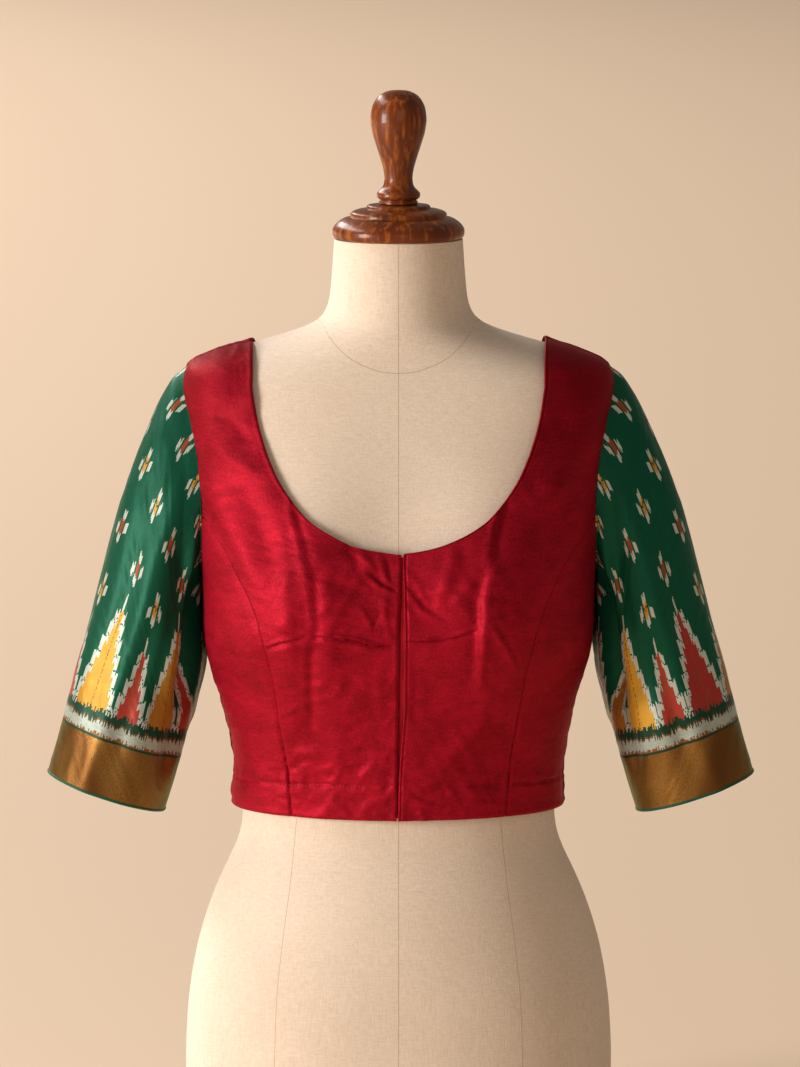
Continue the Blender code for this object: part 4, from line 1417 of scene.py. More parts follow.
@dataclass(frozen=True)
class Studio:
    """The floor, the lights and the camera."""

    distance: float = 6.0
    elevation: float = 7.5
    aim: Point = (0.0012, 0.0, 0.5055)
    scale: float = 0.8 * MM
    picture: tuple[int, int] = (800, 1067)
    sensor: float = 36.0
    floor_half: float = 45.0
    floor_colour: Colour = (0.86, 0.67, 0.50)
    sky_colour: Colour = (1.0, 0.87, 0.74)

    def make(self) -> None:
        """Builds them all."""
        self._floor()
        self._lights()
        self._camera()
        LOG.info("studio ready")

    def _floor(self) -> None:
        """A pale floor that reaches past the picture."""
        half = self.floor_half
        corners = [(-half, -half, 0), (half, -half, 0), (half, half, 0), (-half, half, 0)]
        mesh = bpy.data.meshes.new("floor")
        mesh.from_pydata(corners, [], [(0, 1, 2, 3)])
        floor = bpy.data.objects.new("floor", mesh)
        bpy.context.scene.collection.objects.link(floor)
        dye = Dye("pale_floor")
        mesh.materials.append(dye.finish(Base_Color=self.floor_colour, Roughness=0.9))

    @staticmethod
    def _light(
        name: str, place: Point, target: Point, size: tuple[float, float], power: float,
        tint: Colour,
    ) -> None:
        """Adds a soft light.

        Args:
            name: Its name.
            place: Where it stands.
            target: The point that it faces.
            size: The lengths of its sides.
            power: Its power, in watts.
            tint: Its colour.
        """
        data = bpy.data.lights.new(name, "AREA")
        data.shape = "RECTANGLE"
        data.size, data.size_y = size
        data.energy = power
        data.color = tint
        light = bpy.data.objects.new(name, data)
        bpy.context.scene.collection.objects.link(light)
        light.location = place
        light.rotation_mode = "QUATERNION"
        light.rotation_quaternion = (light.location - Vector(target)).to_track_quat("Z", "Y")

    def _lights(self) -> None:
        """A key light from the upper left, a weak fill from the right and a pale sky."""
        warm, soft = (1.0, 0.95, 0.90), (1.0, 0.88, 0.74)
        self._light("key", (-3.0, -1.6, 0.85), (0, 0, 0.45), (1.2, 1.2), 101, warm)
        self._light("fill", (0.3, -3.6, 1.3), (0, 0, 0.5), (1.4, 1.4), 7, soft)
        self._light("floor_light", (-6, 8.5, 6), (-6, 8.51, 0), (3, 19), 1550, warm)
        bpy.context.scene.view_settings.view_transform = "Standard"
        world = bpy.data.worlds.new("sky")
        world.use_nodes = True
        sky = world.node_tree.nodes["Background"]
        sky.inputs["Color"].default_value = (*self.sky_colour, 1)
        sky.inputs["Strength"].default_value = 0.25
        bpy.context.scene.world = world

    def _camera(self) -> None:
        """A long lens at the picture's angle."""
        data = bpy.data.cameras.new("camera")
        data.sensor_width = self.sensor
        data.lens = self.distance / self.scale / max(self.picture) * self.sensor
        data.clip_end = 200
        camera = bpy.data.objects.new("camera", data)
        bpy.context.scene.collection.objects.link(camera)
        tilt = math.radians(self.elevation)
        away = Vector((0, -math.cos(tilt), math.sin(tilt)))
        camera.location = Vector(self.aim) + away * self.distance
        camera.rotation_euler = (math.pi / 2 - tilt, 0, 0)
        bpy.context.scene.camera = camera


class Turned(NamedTuple):
    """A point of a turned outline, in millimetres: its radius, and its height above the neck."""

    radius: float
    height: float


@dataclass
class NeckCap:
    """The turned wooden cap on the form's neck, and its knob."""

    wood: Material
    base: float = 742.4
    forward: float = 3.5 * MM
    steps: int = 112
    cap: tuple[Turned, ...] = (
        Turned(0, 0.3), Turned(48.6, 0.3), Turned(50.6, 0.9), Turned(51.9, 2.4), Turned(52.6, 5.0),
        Turned(52.5, 7.4), Turned(51.4, 10), Turned(49.2, 12.6), Turned(46.4, 14.9),
        Turned(42.6, 16.8), Turned(39.6, 17.6), Turned(38.5, 18.2), Turned(38.5, 20.0),
        Turned(37.7, 21.2), Turned(35.6, 22.4), Turned(31, 23.7), Turned(27.2, 24.3),
        Turned(25.6, 24.7), Turned(25.3, 26.0), Turned(24.0, 27.2), Turned(20, 27.6),
        Turned(0, 27.6),
    )
    knob: tuple[Turned, ...] = (
        Turned(0, 27.9), Turned(14.8, 27.9), Turned(15.5, 28.5), Turned(15.5, 29.8),
        Turned(14.6, 30.6), Turned(14.5, 31.2), Turned(16.2, 32.4), Turned(17.3, 34.4),
        Turned(17.2, 36.4), Turned(15.4, 38.6), Turned(13.4, 40.6), Turned(12.0, 43),
        Turned(11.2, 48), Turned(12.3, 56), Turned(15, 65.5), Turned(18.2, 75.5), Turned(21.2, 86),
        Turned(22.35, 95), Turned(21.4, 103.5), Turned(18.4, 110.5), Turned(13.2, 115.6),
        Turned(6.6, 118.0), Turned(0, 118.6),
    )

    def make(self) -> None:
        """Builds the cap and the knob."""
        self._turn("neck_cap_wood", self.cap, "neck_cap")
        self._turn("neck_knob_wood", self.knob, "neck_knob")

    def _turn(self, name: str, outline: Sequence[Turned], node: str) -> None:
        """Turns a smooth outline about the neck's axis.

        Args:
            name: The piece's name.
            outline: The points of the outline, from the bottom up.
            node: The node that it stands for.
        """
        rows = np.array(outline, float)
        along = np.concatenate([[0], np.cumsum(np.hypot(*np.diff(rows, axis=0).T))])
        reading = np.unique(np.concatenate([along, np.linspace(0, along[-1], 110)]))
        radius = np.maximum(through(along, rows[:, 0], reading), 0)
        height = through(along, rows[:, 1], reading)
        radius, height = radius[1:-1], height[1:-1]
        angle = np.linspace(0, 2 * math.pi, self.steps, endpoint=False)
        x = radius[:, None] * np.cos(angle) * MM
        y = radius[:, None] * np.sin(angle) * MM - self.forward
        z = (self.base + height[:, None] + 0 * angle) * MM
        points = joined(x, y, z).reshape(-1, 3)
        faces = capped(len(radius), self.steps)
        piece = new_mesh(name, points, faces)
        dress(piece, self.wood, node)
        LOG.info("%s: %d faces", name, len(faces))


class Threads:
    """Stitches and fine welts that follow lines on the surface, made by geometry nodes."""

    def stitches(
        self, name: str, paths: Sequence[Array], material: Material, slot: str,
        length: float = 1.9 * MM, pitch: float = 3.1 * MM, thick: float = 0.28 * MM,
    ) -> None:
        """Sews short stitches along lines.

        Args:
            name: The piece's name.
            paths: The lines.
            material: The thread.
            slot: Not used.
            length: A stitch's length.
            pitch: The distance from one stitch to the next.
            thick: Half the thread's thickness.
        """
        tree, into = self._tree(name)
        points = add_node(
            tree, "GeometryNodeCurveToPoints",
            {"Curve": into["Geometry"], "Length": into["Pitch"]}, mode="LENGTH",
        ).outputs
        sphere = {"Segments": 6, "Rings": 5, "Radius": into["Thickness"]}
        stitch = add_node(tree, "GeometryNodeMeshUVSphere", sphere).outputs["Mesh"]
        ratio = Number(tree, into["Length"]) / Number(tree, into["Thickness"]) * 0.5
        size = add_node(tree, "ShaderNodeCombineXYZ", {0: 1.0, 1: 1.0, 2: ratio}).outputs[0]
        copies = add_node(tree, "GeometryNodeInstanceOnPoints", {
            "Points": points["Points"], "Instance": stitch,
            "Rotation": points["Rotation"], "Scale": size,
        })
        self._end(tree, copies.outputs["Instances"], material)
        sizes = {"Length": length, "Pitch": pitch, "Thickness": thick}
        self._apply(name, paths, tree, sizes, slot)

    def welt(
        self, name: str, paths: Sequence[Array], material: Material, slot: str,
        thick: float = 0.4 * MM,
    ) -> None:
        """Lays a fine round welt along lines.

        Args:
            name: The piece's name.
            paths: The lines.
            material: Its finish.
            slot: Not used.
            thick: Its radius.
        """
        tree, into = self._tree(name)
        circle = {"Resolution": 6, "Radius": into["Thickness"]}
        ring = add_node(tree, "GeometryNodeCurvePrimitiveCircle", circle).outputs["Curve"]
        tube = add_node(tree, "GeometryNodeCurveToMesh", {
            "Fill Caps": True, "Curve": into["Geometry"], "Profile Curve": ring,
        })
        self._end(tree, tube.outputs["Mesh"], material)
        self._apply(name, paths, tree, {"Thickness": thick}, slot)

    @staticmethod
    def _tree(name: str) -> tuple[Tree, bpy.types.NodeOutputs]:
        """Starts a tree with its named inputs.

        Args:
            name: Its name.

        Returns:
            The tree, and the inputs as its other nodes read them.
        """
        tree = bpy.data.node_groups.new(name, "GeometryNodeTree")
        tree.interface.new_socket("Geometry", in_out="INPUT", socket_type="NodeSocketGeometry")
        for key in ("Length", "Pitch", "Thickness"):
            tree.interface.new_socket(key, in_out="INPUT", socket_type="NodeSocketFloat")
        tree.interface.new_socket("Geometry", in_out="OUTPUT", socket_type="NodeSocketGeometry")
        return tree, tree.nodes.new("NodeGroupInput").outputs

    @staticmethod
    def _end(tree: Tree, made: Socket, material: Material) -> None:
        """Realizes the instances, sets the material and closes the tree.

        Args:
            tree: The tree.
            made: The geometry.
            material: Its finish.
        """
        real = add_node(tree, "GeometryNodeRealizeInstances", {0: made})
        paint = {"Geometry": real.outputs[0], "Material": material}
        painted = add_node(tree, "GeometryNodeSetMaterial", paint)
        add_node(tree, "NodeGroupOutput", {0: painted.outputs[0]})

    @staticmethod
    def _apply(name: str, paths: Sequence[Array], tree: Tree, sizes: dict, slot: str) -> None:
        """Runs the nodes on a curve with a spline for each path, and keeps the mesh.

        Args:
            name: The piece's name.
            paths: The lines.
            tree: The geometry nodes.
            sizes: The value of each named input.
            slot: Not used.
        """
        data = bpy.data.curves.new(name + "_path", "CURVE")
        data.dimensions = "3D"
        for path in paths:
            spline = data.splines.new("POLY")
            spline.points.add(len(path) - 1)
            spline.points.foreach_set("co", np.c_[path, np.ones(len(path))].ravel())
        source = bpy.data.objects.new(name + "_path", data)
        bpy.context.scene.collection.objects.link(source)
        modifier = source.modifiers.new("threads", "NODES")
        modifier.node_group = tree
        for item in tree.interface.items_tree:
            if item.in_out == "INPUT" and item.name in sizes:
                modifier[item.identifier] = sizes[item.name]
        graph = bpy.context.evaluated_depsgraph_get()
        mesh = bpy.data.meshes.new_from_object(source.evaluated_get(graph))
        bpy.data.objects.remove(source, do_unlink=True)
        mesh.name = name
        mesh.shade_smooth()
        piece = bpy.data.objects.new(name, mesh)
        bpy.context.scene.collection.objects.link(piece)
        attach(piece, BODY)
        LOG.info("%s: %d faces", name, len(mesh.polygons))


@dataclass
class DressForm:
    """The linen-covered form, with its seams."""

    linen: Material
    seam: Material
    threads: Threads
    shape: FormShape
    rings: int = 230
    steps: int = 210
    seam_sunk: float = 0.28 * MM
    neck_seam: tuple[Spot, ...] = (
        Spot(0, 641), Spot(12, 642), Spot(24, 645.5), Spot(36, 651), Spot(47, 659.5),
        Spot(55.5, 669), Spot(60.5, 677.5),
    )
    princess: tuple[Line, ...] = (
        Line(4, 101), Line(80, 99), Line(140, 97), Line(190, 92), Line(235, 86), Line(284, 81),
    )

    def make(self) -> None:
        """Builds the form and its seams."""
        top = self.shape.sections[-1].height * MM
        heights = np.linspace(0, top, self.rings)
        turns = np.linspace(0, 2 * math.pi, self.steps, endpoint=False)
        turn, height = np.meshgrid(turns, heights)
        points = self.shape.surface(turn, height).reshape(-1, 3)
        faces = capped(self.rings, self.steps)
        piece = new_mesh("dress_form_linen", points, faces)
        dress(piece, self.linen, "dress_form")
        LOG.info("dress_form_linen: %d faces", len(faces))
        self.threads.welt("form_seams", self._seams(top), self.seam, "form_linen")

    def _seams(self, top: float) -> list[Array]:
        """The lines of the form's seams: centres, sides, princess lines and neck base.

        Args:
            top: The height of the neck.

        Returns:
            The lines.
        """
        heights = np.linspace(1.5 * MM, top - 0.5 * MM, 260)
        lines = [self._on(turn + 0 * heights, heights) for turn in (0.0, math.pi)]
        low = np.linspace(1.5 * MM, 286 * MM, 120)
        across = read_line(self.princess, low)
        princess = self._front_turn(across, low)
        for side in (1, -1):
            lines.append(self._on(side * princess, low))
            lines.append(self._on(math.pi - side * princess, low))
            lines.append(self._on(side * math.pi / 2 + 0 * low, low))
        lines.append(self._neck())
        return lines

    def _neck(self) -> Array:
        """The seam round the base of the neck."""
        place = np.array(self.neck_seam, float) * MM
        share = np.linspace(0, 1, len(place))
        reading = np.linspace(0, 1, 60)
        across = through(share, place[:, 0], reading)
        height = through(share, place[:, 1], reading)
        front = self._front_turn(across, height)
        back_turn = np.linspace(front[-1], math.pi, 60)[1:]
        back_height = height[-1] + 0 * back_turn
        turn = np.concatenate([front, back_turn])
        level = np.concatenate([height, back_height])
        turn = np.concatenate([turn, 2 * math.pi - turn[::-1][1:]])
        level = np.concatenate([level, level[::-1][1:]])
        return self._on(turn, level)

    def _front_turn(self, across: Array, height: Array) -> Array:
        """The turn at which the front of the form is that far from the centre."""
        half = math.pi / 2
        return bisect(lambda turn: self.shape.surface(turn, height)[..., 0], 0, half, across)

    def _on(self, turn: Array, height: Array) -> Array:
        """A line on the form, sunk so that only the top of its welt shows."""
        return self.shape.surface(turn, height) - self.shape.normal(turn, height) * self.seam_sunk


@dataclass
class Bodice:
    """The fitted red bodice: four front panels, the back and the placket."""

    satin: Material
    shade: Material
    thread: Material
    threads: Threads
    cut: Cut = field(default_factory=Cut)
    hem_line: float = 316.5 * MM
    hem_rise: float = 5 * MM
    hem_thick: float = 0.5 * MM
    placket_line: float = 26.5 * MM
    right_opening: tuple[Line, ...] = (
        Line(288, 1.4), Line(340, 1.2), Line(440, 0.4), Line(470, -1), Line(502, -2.4),
    )
    left_opening: tuple[Line, ...] = (
        Line(288, -0.4), Line(318, 0.2), Line(338, 1.2), Line(362, 3.0), Line(388, 4.6),
        Line(418, 4.6), Line(438, 5.0), Line(456, 4.6), Line(478, 4.0), Line(494, 3.6),
        Line(502, 3.8),
    )

    def make(self) -> None:
        """Builds the panels."""
        turned, seam = EdgeKind.TURNED, EdgeKind.SEAM
        front_edges = Edges(turned, seam, turned, seam)
        beaded_edges = Edges(EdgeKind.BEAD, seam, turned, seam)
        side_edges = Edges(seam, seam, turned, seam)
        right = self.cut.centre_front(self.right_opening, 76)
        left = self.cut.centre_front(self.left_opening, 76)
        side = self.cut.side_front(168, 60)
        self._panel("front_right_satin", "front_centre_right", right, front_edges, -1)
        self._panel("front_left_satin", "front_centre_left", left, beaded_edges, 1)
        self._panel("side_right_satin", "front_side_right", side, side_edges, -1)
        self._panel("side_left_satin", "front_side_left", side, side_edges, 1)
        self._back()
        self._placket()
        self._sew()

    def _relief(
        self, turn: Array, points: Array, edges: Edges, slant: float, first_row: int = 0
    ) -> Array:
        """How far the outer face stands out of the plain cloth.

        Args:
            turn: The turns of the panel's grid.
            points: Its plain points.
            edges: The finish of its edges.
            slant: How much its small folds lean.
            first_row: The row at which its inner edge starts to be an edge.

        Returns:
            The relief at each point of the grid.
        """
        across = points[..., 0]
        height = points[..., 2]
        in_front = smooth_step(np.cos(turn) / 0.3)
        relief = 1.45 * crease_relief(across, height, SHARP_CREASES) * in_front
        relief += 1.6 * crease_relief(across, height, BACK_CREASES) * (1 - in_front)
        calm = 1 - 0.35 * smooth_step((np.abs(across) - 85 * MM) / (25 * MM)) * in_front
        calm *= 1 - 0.6 * smooth_step((np.abs(across) - 143 * MM) / (9 * MM))
        relief += calm * crumple(across, height, slant)
        return relief + self._edge_relief(points, edges, first_row)

    def _edge_relief(self, points: Array, edges: Edges, first_row: int) -> Array:
        """The relief along a panel's edges and its hem.

        Args:
            points: Its plain points.
            edges: The finish of its edges.
            first_row: The row at which its inner edge starts to be an edge.

        Returns:
            The relief at each point.
        """
        across = np.linalg.norm(np.diff(points, axis=1), axis=-1)
        along = np.linalg.norm(np.diff(points, axis=0), axis=-1)
        zero_column = np.zeros((points.shape[0], 1))
        zero_row = np.zeros((1, points.shape[1]))
        from_inner = np.concatenate([zero_column, np.cumsum(across, axis=1)], axis=1)
        from_bottom = np.concatenate([zero_row, np.cumsum(along, axis=0)], axis=0)
        from_outer = from_inner[:, -1:] - from_inner
        closed = np.arange(points.shape[0]) < first_row
        from_edge = from_inner + np.where(closed, 1.0, 0.0)[:, None]
        from_top = from_bottom[-1:] - from_bottom
        relief = np.zeros(points.shape[:2])
        for kind, gap, place in (
            (edges.inner, from_edge, from_bottom),
            (edges.outer, from_outer, from_bottom),
            (edges.bottom, from_bottom, from_inner),
            (edges.top, from_top, from_inner),
        ):
            if kind is EdgeKind.SEAM:
                relief -= 1.15 * MM * np.exp(-((gap / (1.3 * MM)) ** 2))
                wave = np.sin(place / (2.1 * MM) + 2.2 * np.sin(place / (9 * MM)))
                relief += 0.2 * MM * wave * np.exp(-gap / (5 * MM)) * smooth_step(gap / (1.5 * MM))
            elif kind is EdgeKind.TURNED:
                relief += 0.25 * MM * bell(gap - 2.2 * MM, 1.4 * MM)
                relief -= 0.6 * MM * np.exp(-((gap / (0.8 * MM)) ** 2))
            elif kind is EdgeKind.BEAD:
                relief += 0.35 * MM * bell(gap - 0.9 * MM, 0.5 * MM)
                relief -= 0.7 * MM * bell(gap - 2.1 * MM, 0.6 * MM)
                relief -= 0.5 * MM * np.exp(-((gap / (0.4 * MM)) ** 2))
        if edges.bottom is EdgeKind.TURNED:
            relief += self._hem_relief(points, from_inner)
        return relief

    def _hem_relief(self, points: Array, place: Array) -> Array:
        """The turned-up hem, its line of stitches and the small gathers along it.

        Args:
            points: The panel's plain points.
            place: How far along the hem they are.

        Returns:
            The relief at each point.
        """
        above = points[..., 2] - self._hem_at(points[..., 0])
        band = self.hem_thick * (1 - smooth_step((above + 1.2 * MM) / (2.4 * MM)))
        groove = -0.7 * MM * bell(above, 1.0 * MM)
        wave = np.sin(place / (2.3 * MM) + 3 * np.sin(place / (13 * MM)))
        gathers = 0.32 * MM * wave * bell(above - 2 * MM, 5 * MM)
        return band + groove + gathers

    def _hem_at(self, across: Array) -> Array:
        """The height of the hem's line of stitches."""
        return self.hem_line - self.hem_rise * (across / (131 * MM)) ** 2

    def _panel(
        self, name: str, node: str, grid: PanelGrid, edges: Edges, side: int,
    ) -> None:
        """Builds one panel.

        Args:
            name: The piece's name.
            node: The node that it stands for.
            grid: The grid for the side of +X.
            edges: The finish of its edges.
            side: 1 at +X and -1 at -X.
        """
        turn = grid.turn * side
        plain = self.cut.shape.cloth(turn, grid.height, WALL)
        relief = self._relief(turn, plain, edges, 0.55 * side)
        outer, inner = self._faces(turn, grid.height, relief)
        quads = grid_quads(*turn.shape)
        self._finish(name, node, outer, inner, quads, plain)

    def _faces(self, turn: Array, height: Array, relief: Array) -> tuple[Array, Array]:
        """The outer and the inner face of a panel, which never reach the form.

        Args:
            turn: The turns of the panel's grid.
            height: Its heights.
            relief: How far its outer face stands out.

        Returns:
            The points of both faces.
        """
        shape = self.cut.shape
        room = shape.ease(turn, shape.form.surface(turn, height))
        inner = np.maximum(0.85 * relief, 0.45 * MM - room)
        outer = np.maximum(WALL + relief, inner + 0.7 * MM)
        return shape.cloth(turn, height, outer), shape.cloth(turn, height, inner)

    def _finish(
        self, name: str, node: str, outer: Array, inner: Array, quads: Array,
        plain: Array,
    ) -> None:
        """Makes the panel's mesh and says what it is.

        Args:
            name: The piece's name.
            node: The node that it stands for.
            outer: The points of its outer face.
            inner: The points of its inner face.
            quads: The faces.
            plain: The points without creases, which give the cloth's own coordinates.
        """
        x, y, height = plain.reshape(-1, 3).T
        uv = joined(np.arctan2(x, -y) * 0.14, height)
        piece = wall(name, outer.reshape(-1, 3), inner.reshape(-1, 3), quads, uv)
        dress(piece, self.satin, node)

    def _back(self) -> None:
        """Builds the back from two halves that share their centre line."""
        half, closed_rows = self.cut.half_back(68)
        rows, columns = half.turn.shape
        turn = np.concatenate([half.turn, 2 * math.pi - half.turn])
        height = np.concatenate([half.height, half.height])
        plain = self.cut.shape.cloth(turn, height, WALL)
        edges = Edges(EdgeKind.TURNED, EdgeKind.SEAM, EdgeKind.TURNED, EdgeKind.SEAM)
        relief = np.concatenate([
            self._relief(turn[part], plain[part], edges, 0.1, closed_rows)
            for part in (slice(rows), slice(rows, None))
        ])
        for row in range(closed_rows):
            level = (relief[row, 0] + relief[rows + row, 0]) / 2
            relief[row, 0] = level
            relief[rows + row, 0] = level
        outer, inner = (face.reshape(-1, 3) for face in self._faces(turn, height, relief))
        count = rows * columns
        share = np.arange(2 * count)
        share[count + np.arange(closed_rows) * columns] = np.arange(closed_rows) * columns
        first = grid_quads(rows, columns)[:, ::-1]
        quads = np.concatenate([first, share[grid_quads(rows, columns) + count]])
        used, packed = np.unique(quads, return_inverse=True)
        quads = packed.reshape(quads.shape)
        self._finish(
            "back_satin", "back", outer[used], inner[used], quads,
            plain.reshape(-1, 3)[used],
        )

    def _placket(self) -> None:
        """Builds the strip that carries the hooks."""
        heights = np.linspace(289.5 * MM, 500.5 * MM, 110)
        across = np.linspace(-13.5 * MM, 15.5 * MM, 59)
        across, height = np.meshgrid(across, heights)
        turn = self.cut.shape.signed_turn(across, height)
        welts = bell(across - 2.6 * MM, 0.5 * MM) + 0.7 * bell(across - 4.6 * MM, 0.6 * MM)
        sway = ripple(across, height * 0.2, 2.4 * MM, 51)
        beside = across + read_line(self.right_opening, height)
        sunk = 1.5 * MM * (1 - smooth_step((beside - 0.9 * MM) / (1.0 * MM)))
        high = -1.4 * MM + 0.7 * MM * welts + 0.25 * MM * sway - sunk
        outer = self.cut.shape.cloth(turn, height, high)
        inner = self.cut.shape.cloth(turn, height, -4.0 * MM)
        quads = grid_quads(*turn.shape)
        uv = joined(across.ravel(), height.ravel())
        piece = wall("placket_strip", outer.reshape(-1, 3), inner.reshape(-1, 3), quads, uv)
        dress(piece, self.shade, "placket")
        LOG.info("placket_strip: %d faces", 2 * len(quads))

    def _sew(self) -> None:
        """Sews the hem and the line beside the opening."""
        lines = []
        for low, high in ((-128.5, -86.4), (-84.4, -1.8), (2.6, 84.4), (86.4, 128.5)):
            across = np.linspace(low * MM, high * MM, 120)
            lines.append(self._stitch_line(across, self._hem_at(across)))
        height = np.linspace(312 * MM, 494 * MM, 160)
        lines.append(self._stitch_line(-self.placket_line + 0 * height, height))
        back_turn = np.linspace(math.radians(97), math.radians(263), 260)
        level = self.hem_line - self.hem_rise + 0 * back_turn
        lines.append(self.cut.shape.cloth(back_turn, level, WALL + 0.1 * MM))
        self.threads.stitches("hem_stitches", lines, self.thread, "bodice_satin")

    def _stitch_line(self, across: Array, height: Array) -> Array:
        """A line on the outer face of the front."""
        turn = self.cut.shape.signed_turn(across, height)
        return self.cut.shape.cloth(turn, height, WALL + 0.05 * MM)


class Fold(NamedTuple):
    """A fold along the sleeve. The angle is 0 on the outside of the arm and 90 at its front."""

    angle: float
    start: float
    end: float
    rise: float
    width: float
    lean: float = 0.0
    onset: float = 0.16


@dataclass
class Sleeve:
    """A hollow set-in sleeve with a piped cuff."""

    side: int
    word: str
    hang: float
    silk: Material
    piping: Material
    cut: Cut
    rings: int = 176
    steps: int = 212
    seam_step: float = 0.1 * MM
    body_gap: float = 0.7 * MM
    softness: float = 0.8 * MM
    middle: float = 2 * MM
    piping_radius: float = 1.3 * MM
    outer_line: tuple[Spot, ...] = (
        Spot(172.4, 641.2), Spot(181.7, 634), Spot(189.7, 621), Spot(200, 599.5), Spot(208.6, 578),
        Spot(217.2, 554), Spot(225.2, 527), Spot(238.6, 479), Spot(255.8, 415), Spot(269.2, 364),
        Spot(283.3, 314.7),
    )
    underarm_line: tuple[Spot, ...] = (
        Spot(159.8, 477.6), Spot(159.4, 470), Spot(158.6, 445), Spot(158, 420), Spot(159.8, 396),
        Spot(164.6, 373), Spot(170.6, 349.5), Spot(181.7, 310), Spot(190.2, 283.8),
    )
    depths: tuple[tuple[float, float], ...] = (
        (0, 48), (0.2, 53), (0.45, 54), (0.7, 50), (1, 46.5),
    )
    large_folds: tuple[Fold, ...] = (
        Fold(112, 0.06, 0.78, -7.0, 17),
        Fold(86, 0.05, 0.62, 3.2, 13),
        Fold(58, 0.10, 0.86, -3.4, 15),
        Fold(32, 0.22, 0.95, 2.2, 15),
        Fold(136, 0.30, 0.92, 2.6, 14),
        Fold(248, 0.08, 0.70, -5.0, 18),
        Fold(292, 0.15, 0.85, 2.6, 18),
        Fold(322, 0.20, 0.90, -2.4, 15),
    )
    fine_folds: tuple[Fold, ...] = (
        Fold(150, 0.0, 0.64, -13.0, 11, -6, 0.10),
        Fold(146, 0.04, 0.94, -8.0, 10, -8, 0.10),
        Fold(122, 0.06, 0.66, 4.0, 7, -6, 0.10),
        Fold(205, 0.0, 0.80, 7.0, 9, 0, 0.04),
        Fold(104, 0.20, 0.90, 2.4, 8, -8, 0.08),
        Fold(76, 0.34, 1.10, 2.4, 7, -10, 0.2),
        Fold(90, 0.40, 1.00, -2.2, 6, -10, 0.2),
        Fold(72, 0.02, 0.40, -1.1, 5, 14),
        Fold(98, 0.30, 0.80, 0.9, 5, -10),
        Fold(46, 0.30, 0.75, 0.9, 6, 12),
        Fold(122, 0.20, 0.70, -1.0, 5, 16),
        Fold(20, 0.04, 0.36, -0.8, 6, 10),
        Fold(80, 0.55, 1.10, -0.8, 5, -8),
        Fold(64, 0.62, 1.15, 0.7, 5, 6),
        Fold(104, 0.66, 1.15, 0.7, 6, 6),
        Fold(226, 0.05, 0.50, -1.0, 6, -12),
        Fold(270, 0.20, 0.72, 0.9, 6, 10),
        Fold(306, 0.10, 0.50, -0.9, 6, 12),
        Fold(262, 0.60, 1.12, -0.8, 6, -8),
    )

    def make(self) -> None:
        """Builds the sleeve and its piping."""
        outside, plain = self._outside()
        normals = self._normals(outside)
        inside = outside - normals * WALL
        uv = self._cloth_places(outside, plain)
        flip = np.array([self.side, 1, 1])
        ring = np.arange(self.steps + 1) % self.steps
        outer = (outside[:, ring] * flip).reshape(-1, 3)
        inner = (inside[:, ring] * flip).reshape(-1, 3)
        self._sleeve(outer, inner, uv)
        self._pipe(outside, normals, flip)

    @staticmethod
    def _line(rows: Sequence[Spot], shares: Array) -> Array:
        """Points of a smooth line at shares of its length."""
        points = np.array(rows, float) * MM
        lengths = np.hypot(*np.diff(points, axis=0).T)
        along = np.concatenate([[0], np.cumsum(lengths)]) / lengths.sum()
        return np.stack([through(along, column, shares) for column in points.T])

    def _rise(self, angle: Array, share: Array) -> Array:
        """How far the folds stand out of the sleeve or sink into it.

        Args:
            angle: Angles round the sleeve.
            share: Shares of its length.

        Returns:
            The rise at each of them.
        """
        rise = np.zeros_like(angle + share)
        degrees = np.degrees(angle)
        for fold in (*self.large_folds, *self.fine_folds):
            centre = fold.angle + fold.lean * (share - (fold.start + fold.end) / 2)
            off = (degrees - centre + 180) % 360 - 180
            ends = smooth_step((share - fold.start) / fold.onset)
            ends = ends * smooth_step((fold.end - share) / 0.2)
            rise += fold.rise * MM * ends * bell(off, fold.width)
        ease = smooth_step(share / 0.12)
        round_x = np.cos(angle) * 60 * MM
        round_y = np.sin(angle) * 60 * MM
        waves = 0.8 * MM * ripple(round_x + share * 0.02, round_y + share * 0.21, 26 * MM, 21)
        waves = waves + 0.22 * MM * ridges(round_x + share * 0.28, round_y, 11 * MM, 22)
        return rise + waves * ease

    @staticmethod
    def _normals(points: Array) -> Array:
        """Unit normals of a tube of rings, pointing out of it."""
        around = np.roll(points, -1, axis=1) - np.roll(points, 1, axis=1)
        normals = np.cross(around, np.gradient(points, axis=0))
        return normals / np.linalg.norm(normals, axis=-1, keepdims=True)

